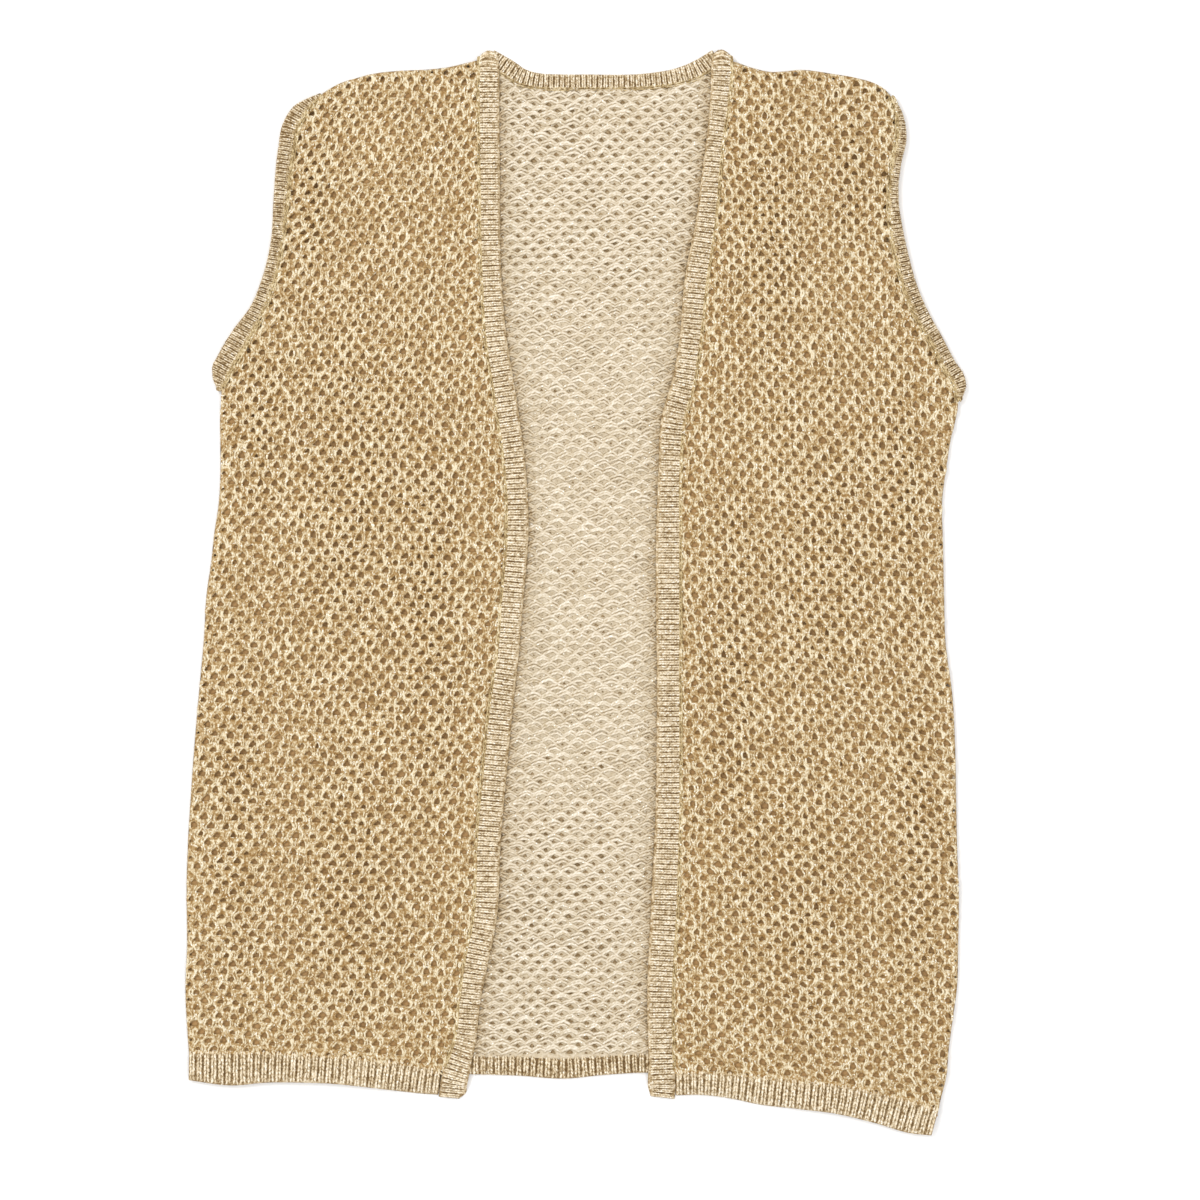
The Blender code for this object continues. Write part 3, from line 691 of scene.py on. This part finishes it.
def cell_mesh(panel, cells, rims, feet, height, levels, shade_depths):
    """Cells that meet at a web. Each has a ring in to the rim of its hole and another on
    to the foot of its wall. levels and depths are the web's, the rims' and the feet's,
    and height gives the height at a place for its level. The points are the web's, then
    the rims' and the feet's."""
    keys, number = np.unique((cells * 2).round().reshape(-1, 2), axis=0, return_inverse=True)
    layers = []
    for lattice, level in zip((keys / 2, rims.reshape(-1, 2), feet.reshape(-1, 2)), levels):
        xy = panel.held_in(panel.plan(*lattice.T))
        layers.append(np.column_stack([xy, height(xy, level)]))
    web = number.reshape(cells.shape[:2])
    rim = len(keys) + numbered(*web.shape)
    foot = rim + rim.size
    faces = []
    for inner, outer in ((rim, web), (foot, rim)):
        faces.append(np.stack([outer, np.roll(outer, -1, 1), np.roll(inner, -1, 1), inner], -1))
    shade_depth = np.repeat(shade_depths, [len(keys), rim.size, rim.size])
    return np.vstack(layers), np.concatenate(faces).reshape(-1, 4), shade_depth


def ground_mesh(panel, holes, ground):
    """A ground cloth, whose holes are uneven and close up at the outline."""
    uneven = 1 + 0.14 * random.standard_normal((len(holes), 1, 1))
    uneven = uneven + 0.08 * random.standard_normal((len(holes), len(RIM), 1))
    shut = np.clip((panel.room(panel.plan(*holes.T)) - 0.5) / 3.0, 0.12, 1)[:, None, None]
    middle = holes[:, None]
    rim = middle + RIM * ground.hole * np.clip(uneven, 0.6, 1.3) * shut
    foot = middle + (rim - middle) * 0.8

    def height(xy, drop):
        return np.maximum(panel.surface(xy) - drop, OFF_TABLE)

    return cell_mesh(panel, middle + CELL, rim, foot, height, ground.drops, ground.shade_depths)


def holes_of(panel):
    """Wale and course of every hole of a panel. Those whose middle lies just outside
    have a cell that fills the outline's corners."""
    holes = np.column_stack(panel.places())
    holes = holes[holes.sum(axis=1) % 2 == 0]
    return holes[panel.room(panel.plan(*holes.T)) > -CELL_REACH]


LEG_STEPS = 4
LEG_START = 0.6  # how far under its course a leg starts, in courses
LEG_LENGTH = 1.22  # in courses
LEG_DIVE = 1.25  # how far its ends go down into the cloth


def leg_lines(panel):
    """Centre lines of the two legs of every stitch: columns of stitches that swing
    round the holes on each side."""
    wale, course = panel.places(0.5)
    keep = panel.room(panel.plan(wale, course)) > 0.2
    wale, course = wale[keep, None], course[keep, None]
    t = np.linspace(0, 1, LEG_STEPS)
    shape = (len(wale), 1)
    lines = []
    for side in (-1, 1):
        up = course - LEG_START + LEG_LENGTH * t + random.normal(0, 0.14, shape)
        sway = WALE_SWAY * np.sin(math.pi * (wale + up))
        spread = side * (0.03 + 0.17 * t**0.8) + random.normal(0, 0.08, shape)
        lean = random.normal(0, 0.12, shape) * (t - 0.5)
        xy = panel.held_in(panel.plan(wale + sway + spread + lean, up), HEM_LAP, EDGE_INSET)
        dive = 1 - np.sin(math.pi * (0.1 + 0.8 * t)) ** 0.8
        z = panel.surface(xy) - LEG_RADIUS - LEG_DIVE * dive + random.normal(0, 0.16, shape)
        lines.append(raised(xy, z))
    return np.concatenate(lines), t


def add_front(name, panel, node):
    """A front: its ground cloth with its stitches."""
    points, faces, shade_depth = ground_mesh(panel, holes_of(panel), FRONT_GROUND)
    ground = add_piece(name + "_knit", points, faces, shade_depth, 0.5, 0, FRONT_YARN)
    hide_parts(node)

    lines, t = leg_lines(panel)
    swell = 0.55 + 0.45 * np.sin(math.pi * (0.1 + 0.8 * t))
    radius = LEG_RADIUS * swell * random.normal(1, 0.16, (len(lines), 1))
    # The legs' ends, where they dive into the cloth, are painted darker than their middles: painted
    # shade.
    shade_depth = 0.6 + 0.14 * np.sin(math.pi * t)
    stitches = add_yarns(name + "_stitches", lines, radius, shade_depth, 0.4, 2.6, FRONT_YARN)
    width, length, area = panel.cut()


def front_panel(armhole, side_table, shoulder, band, hem, guides, free_side, seed):
    """A front's outline and lattice, from the tables of the edges round it."""
    outer, inner = plan_curves(armhole, side_table), plan_curves(band)
    sides = (outer, inner) if free_side == "low" else (inner, outer)
    top, bottom = plan_curves(shoulder), plan_curves(hem)
    return Panel(guides, FRONT_WALES, sides, top, bottom, upper_base, [free_side, "top"], seed)


# ---- the back

def back_panel():
    """The back's outline and lattice."""
    right = plan_curves(RIGHT_ARMHOLE_BAND, RIGHT_SIDE)
    left = plan_curves(LEFT_ARMHOLE_BAND, LEFT_SIDE)
    top = plan_curves(RIGHT_SHOULDER, BACK_NECK_BAND, LEFT_SHOULDER)
    bottom = plan_curves(BACK_HEM)
    free = ["low", "high", "top"]
    return Panel(BACK_LATTICE, BACK_WALES, (right, left), top, bottom, lower_base, free, 50)


def between_bands(xy):
    """How far each place lies inside the opening between the front bands."""
    right = x_at(free_edge(RIGHT_FRONT_BAND, 1), xy[..., 1])
    left = x_at(free_edge(LEFT_FRONT_BAND, -1), xy[..., 1])
    return np.minimum(xy[..., 0] - right, left - xy[..., 0])


def looseness(xy):
    """How open the back's holes are: most at the neck and the foot, least between."""
    x, y = xy[..., 0], xy[..., 1]
    open_top = np.clip((y - 150) / 90, 0, 1)
    open_foot = np.clip((-110 - y) / 60, 0, 1) * np.clip(1.1 - (x - 5) / 60, 0.35, 1)
    base = np.maximum(open_top, open_foot)
    uneven = 0.14 * unevenness(x, y, 30, 91) + 0.2 * unevenness(x, y, 9, 92)
    return np.clip(0.25 + 0.7 * base + uneven, 0.1, 1.15)


# A pit's reach from its middle at its rim and its foot, in wales and courses, and the
# heights and shades of the web, the rims and the feet, with the pits' floors painted
# dark as shade
PIT_RIM = (0.5, 0.45)
PIT_FOOT = (0.34, 0.3)
PIT_RISES = (0.1, 0.35, 1.3)
PIT_SHADE_DEPTHS = (0.7, 0.5, 0.1)


def add_back_outside(panel):
    """The back's right side, down on the table, with a small pit in every cell."""
    holes = holes_of(panel)
    middle = holes[:, None]
    turn = np.array([(1, 0), (0, 1), (-1, 0), (0, -1)])
    shut = np.clip(panel.room(panel.plan(*holes.T)) / 4.0, 0.1, 1)[:, None, None]
    rim = middle + turn * PIT_RIM * shut
    foot = middle + turn * PIT_FOOT * shut

    def height(xy, rise):
        return np.minimum(panel.turned(xy) + rise, WALL)

    points, faces, shade_depth = cell_mesh(panel, middle + turn, rim, foot, height, PIT_RISES, PIT_SHADE_DEPTHS)
    floors = numbered(len(points))[-4 * len(holes):].reshape(-1, 4)
    faces = np.concatenate([floors[:, ::-1], faces[:, [0, 3, 2, 1]]])
    return add_piece("back_knit", points, faces, shade_depth, 0.5, 0, BACK_YARN)


def add_back_covered(panel):
    """The back's wrong side where the fronts cover it, which shows through their holes,
    painted golden brown as the shade down those holes. It runs on over the hem, where the
    hem's own stitches are left out."""
    wale, course = panel.places(0, COVER_CELL)
    corners = np.array([(0, 0), (1, 0), (1, 1), (0, 1)]) * COVER_CELL
    cells = np.stack([wale, course], axis=-1)[:, None] + corners
    middle = panel.plan(*cells.mean(axis=1).T)
    rooms = panel.rooms(middle)
    near = np.minimum(rooms["low"], rooms["high"]) > -5
    above = rooms["bottom"] > -HEM_COVER - 7
    keep = near & above & (rooms["top"] > -5) & (between_bands(middle) < -7)
    xy = panel.held_in(panel.plan(*cells[keep].reshape(-1, 2).T), HEM_COVER)
    points = np.column_stack([xy, np.maximum(panel.surface(xy) - 0.2, OFF_TABLE)])
    faces = numbered(keep.sum(), 4)
    return add_piece("back_covered", points, faces, 0.5, 0.5, 0, SHADED_COVER_YARN)


def add_back_inside(panel, holes):
    """The ground cloth of the back's wrong side, whose holes are more or less open."""
    points, faces, shade_depth = ground_mesh(panel, holes, BACK_GROUND)
    middle = panel.plan(*holes.T)
    rings = 2 * 8 * len(holes)
    loose = np.tile(np.repeat(looseness(middle), 8), 2)[:, None]
    centre = np.tile(np.repeat(middle, 8, axis=0), (2, 1))
    points[-rings:, :2] = centre + (points[-rings:, :2] - centre) * loose
    return add_piece("back_inside", points, faces, shade_depth, 0.5, 0, BACK_YARN)


LOOP_STEPS = 6
LOOP_RISES = (0.60, 0.24)  # of the two loops at each hole, in courses
LOOP_PEAK = 0.2  # where a loop's top is, between its ends at -1 and 1


def loop_lines(panel, holes):
    """Centre lines of the loops of the back's wrong side: two arches over each hole,
    skewed to one side."""
    u = np.linspace(-1, 1, LOOP_STEPS)
    shape = (len(holes), 1)
    lines = []
    for rise in LOOP_RISES:
        far = np.abs(u - LOOP_PEAK) / np.where(u < LOOP_PEAK, 1 + LOOP_PEAK, 1 - LOOP_PEAK)
        arch = 0.34 - 0.55 * far**1.3
        wale = holes[:, :1] + 1.12 * u + random.normal(0, 0.06, shape)
        course = holes[:, 1:] + arch * random.normal(1, 0.12, shape) + rise
        course = course + random.normal(0, 0.06, shape)
        xy = panel.held_in(panel.plan(wale, course))
        z = panel.surface(xy) - 0.95 + 0.3 * (1 - u**2) + random.normal(0, 0.12, shape)
        lines.append(raised(xy, np.maximum(z, OFF_TABLE)))
    return np.concatenate(lines), u


def add_back_loops(panel, holes):
    """The loops of the back's wrong side, painted darker at their ends and beside the front bands,
    painted shadow where the bands shade the back.
    """
    lines, u = loop_lines(panel, holes)
    swell = 0.6 + 0.4 * np.sqrt(1 - (0.9 * u) ** 2)
    radius = LOOP_RADIUS * swell * random.normal(1, 0.1, (len(lines), 1))
    # Painted shadow of the front bands on the back, fading over about 4 mm from their free edges.
    band_shadow = np.exp(-np.clip(between_bands(lines), 0, None) / 4)
    shade_depth = 0.6 + 0.2 * (1 - np.abs(u)) - 0.45 * band_shadow
    return add_yarns(
        "back_loops", lines, radius, shade_depth, 0.5, 4.0, BACK_YARN, mottle=0.16,
    )


def add_back(panel):
    """The back: its right side on the table, and its wrong side as rows of arched
    loops with small holes between them."""
    outside = add_back_outside(panel)
    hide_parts("back_panel")
    covered = add_back_covered(panel)
    holes = holes_of(panel)
    holes = holes[between_bands(panel.plan(*holes.T)) > -13]
    inside = add_back_inside(panel, holes)
    loops = add_back_loops(panel, holes[panel.room(panel.plan(*holes.T)) > -0.8])
    width, length, area = panel.cut()


# ---- bands

class Profile(NamedTuple):
    """A point of a band's section: its place from seam (0) to free edge (1), its
    height over the under side as a share of the wall, and how much of the ribs shows."""

    part: float
    height: float
    ribbed: float


BAND_PROFILE = (
    Profile(-0.07, 0.1, 0.0), Profile(-0.04, 0.55, 0.0), Profile(0.05, 0.74, 0.7),
    Profile(0.16, 0.84, 1.0), Profile(0.4, 0.88, 1.0), Profile(0.66, 0.86, 1.0),
    Profile(0.84, 0.78, 0.6), Profile(0.94, 0.55, 0.3), Profile(1.0, 0.18, 0.1),
    Profile(0.98, -0.1, 0.0), Profile(0.5, 0.0, 0.0), Profile(-0.02, 0.0, 0.0),
)
BAND_CROWN = BAND_PROFILE[:9]  # its upper side
RIB_PHASES = np.array([0, 0.12, 0.32, 0.68, 0.88])  # a groove, then the rib
END_RADIUS = 1.5  # of a band's rounded ends
SEAM_ROW = 1.6  # of a band's width that its seam takes up
TURN_STEPS = 5  # rows round each turn of an armhole band
GROOVE_DEPTH = 0.65


class Band:
    """A ribbed band along its seam line. side is 1 where its free edge lies to the left
    of the way the table runs, dome is how far its first end bulges, and shade is how
    much lighter or deeper its yarn is. Places along it are counted in ribs."""

    def __init__(self, table, side, rib, base, dome=0.0, shade=0.0):
        self.line = smooth_curve(table)
        self.run = run_along(self.line)
        self.out = side * left_of(self.line)
        self.side = side
        self.base = base
        self.dome = dome
        self.shade = shade
        self.ribs = round(self.run[-1] / rib)
        self.rib = self.run[-1] / self.ribs

    def plan(self, turn, part):
        """Where a place along (in ribs) and across (0 to 1) lies."""
        place = np.clip(turn, 0, self.ribs) * self.rib
        x, y, width = (np.interp(place, self.run, column) for column in self.line.T)
        out_x, out_y = (np.interp(place, self.run, column) for column in self.out.T)
        inner = np.clip(part, 0, 1)
        bulge = self.side * self.dome * np.clip(1 - place / DOME_REACH, 0, 1) ** 2
        bulge = bulge * 4 * inner * (1 - inner)
        x = x + out_x * width * part - out_y * bulge
        y = y + out_y * width * part + out_x * bulge
        return np.stack([x, y], axis=-1)

    def cut(self, layers=1):
        """The width, length and area of the flat band with its seam's row, in metres."""
        width, length = self.line[:, 2] + SEAM_ROW, self.run[-1]
        return width.max() * MM, layers * length * MM, layers * width.mean() * length * MM**2

    def way(self, turn):
        """The direction in which the band runs."""
        ahead = self.plan(np.array(turn) + 0.3, 0) - self.plan(np.array(turn) - 0.3, 0)
        return unit(ahead)


def rib_groove(turn):
    """How deep the ribbing goes at a place: 1 in the narrow groove between two ribs."""
    return 1 - np.abs(np.sin(math.pi * turn)) ** 0.4


def section_points(band, turns, angles, ways, sink):
    """The rows of a band's shell. Each row stands at an angle round the middle of the
    two layers: 0 on the upper side, pi on the under side."""
    profile = np.array(BAND_PROFILE)
    part, height, ribbed = profile.T
    xy = band.plan(turns[:, None], part)
    groove = rib_groove(turns)[:, None] * ribbed
    crown = WALL * height * sink[:, None]
    reach = crown - groove * GROOVE_DEPTH + 0.1 * unevenness(xy[..., 0], xy[..., 1], 8, 77)
    reach = SEAM_GAP / 2 + np.where(height > 0, np.maximum(reach, 0.0), crown)
    base = band.base(xy) * (angles[:, None] == 0) + UPPER * (angles[:, None] > 0)
    z = base - SEAM_GAP / 2 + np.cos(angles)[:, None] * reach
    xy = xy + (np.sin(angles)[:, None] * reach)[..., None] * ways[:, None]
    return raised(xy, np.maximum(z, 0)), groove


def add_shell(name, band, turns, angles, ways, ring, node):
    """A band's shell through its rows, whose last joins its first where it is a ring."""
    ends = np.minimum(turns, band.ribs - turns) * band.rib
    sink = np.ones(len(turns))
    if not ring:
        near = np.clip(ends, 0, END_RADIUS)
        sink = 0.35 + 0.65 * np.sqrt(1 - (1 - near / END_RADIUS) ** 2)
    points, groove = section_points(band, turns, angles, ways, sink)
    grid = numbered(*points.shape[:2])
    grid = np.concatenate([grid, grid[:, :1]], axis=1)
    if ring:
        grid = np.concatenate([grid, grid[:1]], axis=0)
    faces = grid_faces(grid)
    places = grid_faces(numbered(*grid.shape))
    if band.side > 0:
        faces, places = faces[:, ::-1], places[:, ::-1]
    chart = np.stack(np.divmod(places.ravel(), grid.shape[1]), axis=-1).astype(float)
    # The grooves are painted darker, painted shade in them, and the low points of the section at the
    # seam and the free edge darker again, painted shadow where the band meets the cloth beneath.
    shade_depth = band.shade + 0.5 - 0.36 * groove - 0.15 * (1 - np.array(BAND_PROFILE)[:, 1])
    rib_tint = random.normal(0.5, 0.15, band.ribs + 1)
    tint = np.broadcast_to(rib_tint[turns.astype(int)][:, None], shade_depth.shape)
    shell = add_piece(name, points, faces, shade_depth, tint, 0, RIB_YARN, chart)
    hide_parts(node)
    return shell


def add_rib_stitches(name, band, stitch, span, seen=None):
    """The stitches of a band's ribs: two legs each, in a chain along every rib."""
    width = np.interp(np.arange(band.ribs) * band.rib, band.run, band.line[:, 2])
    count = max(2, round(float(width.mean()) * (span[1] - span[0]) / stitch))
    rib, number = np.meshgrid(np.arange(band.ribs) + 0.5, np.arange(count))
    rib, number = rib.reshape(-1, 1), number.reshape(-1, 1)
    if seen is not None:
        keep = seen(band.plan(rib[:, 0], 0.5))
        rib, number = rib[keep], number[keep]
    t = np.linspace(0, 1, 3)
    profile = np.array(BAND_CROWN)
    lines = []
    for leg in (-1, 1):
        part = span[0] + (span[1] - span[0]) * (number - 0.15 + 1.3 * t) / count
        part = part + random.normal(0, 0.008, rib.shape)
        turn = rib + leg * (0.12 + 0.14 * t) + random.normal(0, 0.025, rib.shape)
        xy = band.plan(turn, part)
        crown = np.interp(part, profile[:, 0], profile[:, 1]) * WALL
        ends = np.clip(np.minimum(turn, band.ribs - turn) * band.rib / END_RADIUS, 0.1, 1)
        rise = 0.1 * band.rib + 0.1 * np.sin(math.pi * t) + random.normal(0, 0.08, rib.shape)
        z = band.base(xy) + crown * (0.5 + 0.5 * ends) + rise - 0.45 * (t == 0)
        lines.append(raised(xy, z))
    lines = np.concatenate(lines)
    radius = 0.165 * band.rib * np.array([0.6, 1.05, 0.75]) * random.normal(1, 0.12, (len(lines), 1))
    # Each leg is painted darker at its ends than at its middle: painted shade where it dives.
    shade_depth = band.shade + 0.6 + 0.2 * np.sin(math.pi * t)
    return add_yarns(name, lines, radius, shade_depth, 0.4, 1.0, RIB_YARN)


def add_band(name, band, stitch, node, span=(0.03, 0.88), seen=None):
    """A ribbed band with its stitches."""
    turns = (np.arange(band.ribs)[:, None] + RIB_PHASES).ravel()
    close = np.array([0.1, 0.4]) * (END_RADIUS / band.rib)
    turns = np.sort(np.concatenate([turns, [band.ribs], close, band.ribs - close]))
    still = np.zeros((len(turns), 2))
    shell = add_shell(name + "_shell", band, turns, np.zeros(len(turns)), still, False, node)
    ribs = add_rib_stitches(name + "_ribs", band, stitch, span, seen)
    width, length, area = band.cut()


def ring_stations(band, trim):
    """The rows of a closed ring that is pressed flat, as their places along the band,
    their angles and the ways they face. Its upper side runs down to the underarm, turns
    under, and runs back up to the shoulder, where it turns over. The turns stand at
    trim from the band's ends."""
    above = (np.arange(band.ribs)[:, None] + RIB_PHASES).ravel()
    above = above[(above > trim) & (above < band.ribs - trim)]
    angles = math.pi * np.arange(1, TURN_STEPS) / TURN_STEPS
    turns = [above, np.full(len(angles), above[-1]), above[::-1], np.full(len(angles), above[0])]
    around = [np.zeros(len(above)), angles, np.full(len(above), math.pi), math.pi - angles]
    still = np.zeros((len(above), 2))
    down, up = band.way(above[-1]), -band.way(above[0])
    ways = [still, np.tile(down, (len(angles), 1)), still, np.tile(up, (len(angles), 1))]
    return np.concatenate(turns), np.concatenate(around), np.concatenate(ways)


def add_armhole(name, table, side, node):
    """An armhole's band: a closed ring of rib with its stitches and its seam."""
    band = Band(table, side, ARMHOLE_RIB, upper_base, shade=-0.2)
    trim = (WALL + SEAM_GAP / 2) / band.rib
    shell = add_shell(name + "_shell", band, *ring_stations(band, trim), True, node)

    def seen(xy):
        start, end = band.plan(trim, 0.5), band.plan(band.ribs - trim, 0.5)
        return (xy[:, 1] < start[1] + 1) & (xy[:, 1] > end[1] - 1)

    ribs = add_rib_stitches(name + "_ribs", band, 1.5, (0.03, 0.96), seen)
    add_seam_chain(name + "_seam", band, -1.2, 2.6)
    add_seam_chain(name + "_seam_inner", band, 0.8, 2.4, lift=0.15)
    width, length, area = band.cut(2)


CHAIN_PITCH = 3.0
# The chain sits deep on the shade ramp: partly its golden colour, partly painted shade along the seam.
CHAIN_SHADE_DEPTH = 0.52  # how near the crest of the yarn its shade is


def add_seam_chain(name, band, offset, width, end=0.0, lift=0.0):
    """The chain of stitches that joins a band to its panel. offset is how far from the
    seam it lies, towards the free edge, and end how far before the band's end it stops."""
    count = int((band.run[-1] - end) / CHAIN_PITCH)
    t = np.linspace(0, 1, 4)
    numbers = np.arange(count)[:, None]
    lines = []
    for leg in (-1, 1):
        turn = (numbers - 0.25 + 1.5 * t) * CHAIN_PITCH / band.rib + random.normal(0, 0.06, (count, 1))
        out = offset + leg * width * (0.1 + 0.3 * t) + random.normal(0, 0.12, (count, 1))
        local = np.interp(np.clip(turn * band.rib, 0, band.run[-1]), band.run, band.line[:, 2])
        xy = band.plan(turn, out / local)
        z = band.base(xy) + WALL + lift - 0.75 - 0.6 * (1 - np.sin(math.pi * t))
        lines.append(raised(xy, z))
    lines = np.concatenate(lines)
    swell = 0.6 + 0.4 * np.sin(math.pi * t)
    radius = CHAIN_RADIUS * swell * random.normal(1, 0.1, (len(lines), 1))
    add_yarns(name, lines, radius, CHAIN_SHADE_DEPTH, 0.6, 1.6, SEAM_YARN)


# ---- the stage

FRAME_WIDTH = 0.798  # what the photo's frame spans at the table, in metres
VIEW_CENTRE = (16.3, -5.0)  # in the tables' axes
CAMERA_HEIGHT = 3.4
SENSOR_WIDTH = 36
FLOOR_SIZE = 12.0
FLOOR_HEIGHT = -0.0006
FLOOR_WHITE = 0.98
SKY_STRENGTH = 0.95

# Each round lamp's name, place, size and power
LAMPS = (("key", (-1.15, 0.95, 2.4), 1.1, 26), ("fill", (0.9, -0.6, 2.8), 1.4, 14))


def add_floor():
    bpy.ops.mesh.primitive_plane_add(size=FLOOR_SIZE, location=(0, 0, FLOOR_HEIGHT))
    floor = bpy.context.object
    floor.name = "floor"
    material = bpy.data.materials.new("pale_floor")
    material.use_nodes = True
    shader = material.node_tree.nodes["Principled BSDF"]
    shader.inputs["Base Color"].default_value = (FLOOR_WHITE, FLOOR_WHITE, FLOOR_WHITE, 1)
    shader.inputs["Roughness"].default_value = 0.9
    floor.data.materials.append(material)


def add_lights(scene):
    """A white sky all round, and the lamps."""
    world = bpy.data.worlds.new("studio")
    scene.world = world
    world.use_nodes = True
    sky = world.node_tree.nodes["Background"]
    sky.inputs["Color"].default_value = (1.0, 1.0, 1.0, 1)
    sky.inputs["Strength"].default_value = SKY_STRENGTH
    for name, place, size, power in LAMPS:
        light = bpy.data.lights.new(name, "AREA")
        light.shape = "DISK"
        light.size = size
        light.energy = power
        lamp = bpy.data.objects.new(name, light)
        lamp.location = place
        scene.collection.objects.link(lamp)
        lamp.rotation_euler = (-lamp.location).to_track_quat("-Z", "Y").to_euler()


def add_camera(scene):
    """A camera straight above, which spans the photo's frame."""
    lens = bpy.data.cameras.new("camera")
    lens.sensor_width = SENSOR_WIDTH
    lens.lens = SENSOR_WIDTH * CAMERA_HEIGHT / FRAME_WIDTH
    lens.clip_start = 0.01
    lens.clip_end = 50
    camera = bpy.data.objects.new("camera", lens)
    camera.location = (*(TABLE_SHIFT + VIEW_CENTRE) * MM, CAMERA_HEIGHT)
    scene.collection.objects.link(camera)
    scene.camera = camera


def add_stage():
    scene = bpy.context.scene
    scene.view_settings.view_transform = "Standard"
    add_floor()
    add_lights(scene)
    add_camera(scene)


# ---- the garment

def add_fronts():
    right = front_panel(
        RIGHT_ARMHOLE_BAND, RIGHT_SIDE, RIGHT_SHOULDER, RIGHT_FRONT_BAND, RIGHT_FRONT_HEM,
        RIGHT_FRONT_LATTICE, "low", 10,
    )
    left = front_panel(
        LEFT_ARMHOLE_BAND, LEFT_SIDE, LEFT_SHOULDER, LEFT_FRONT_BAND, LEFT_FRONT_HEM,
        LEFT_FRONT_LATTICE, "high", 30,
    )
    add_front("right_front", right, "right_front_panel")
    add_front("left_front", left, "left_front_panel")


def in_opening(xy):
    """Which places show between the front bands, or lie just under them."""
    return between_bands(xy) > -10


def add_front_band(name, table, side):
    """A front's band, with the chain of its seam down to the hem."""
    band = Band(table, side, BAND_RIB, upper_base, SHOULDER_DOME, -0.02)
    add_band(name + "_band", band, 1.7, name + "_band")
    add_seam_chain(name + "_seam", band, -0.4, 2.4, 19.0)


def add_bands():
    add_front_band("right_front", RIGHT_FRONT_BAND, 1)
    add_front_band("left_front", LEFT_FRONT_BAND, -1)
    for name, table in (("right_front_hem", RIGHT_FRONT_HEM), ("left_front_hem", LEFT_FRONT_HEM)):
        band = Band(table, -1, HEM_RIB, upper_base, shade=-0.05)
        add_band(name, band, 2.2, name, (-0.12, 0.93))
    back_hem = Band(BACK_HEM, -1, HEM_RIB, lower_base, shade=-0.16)
    add_band("back_hem", back_hem, 2.2, "back_hem", (-0.05, 0.93), in_opening)
    neck = Band(BACK_NECK_BAND, 1, NECK_RIB, lower_base, shade=-0.11)
    add_band("neck_band", neck, 1.7, "back_neck_band", (0.12, 0.95))
    add_seam_chain("neck_seam", neck, 0.6, 3.0)
    add_armhole("right_armhole", RIGHT_ARMHOLE_BAND, -1, "right_armhole_band")
    add_armhole("left_armhole", LEFT_ARMHOLE_BAND, 1, "left_armhole_band")


add_fronts()
add_back(back_panel())
add_bands()
add_stage()
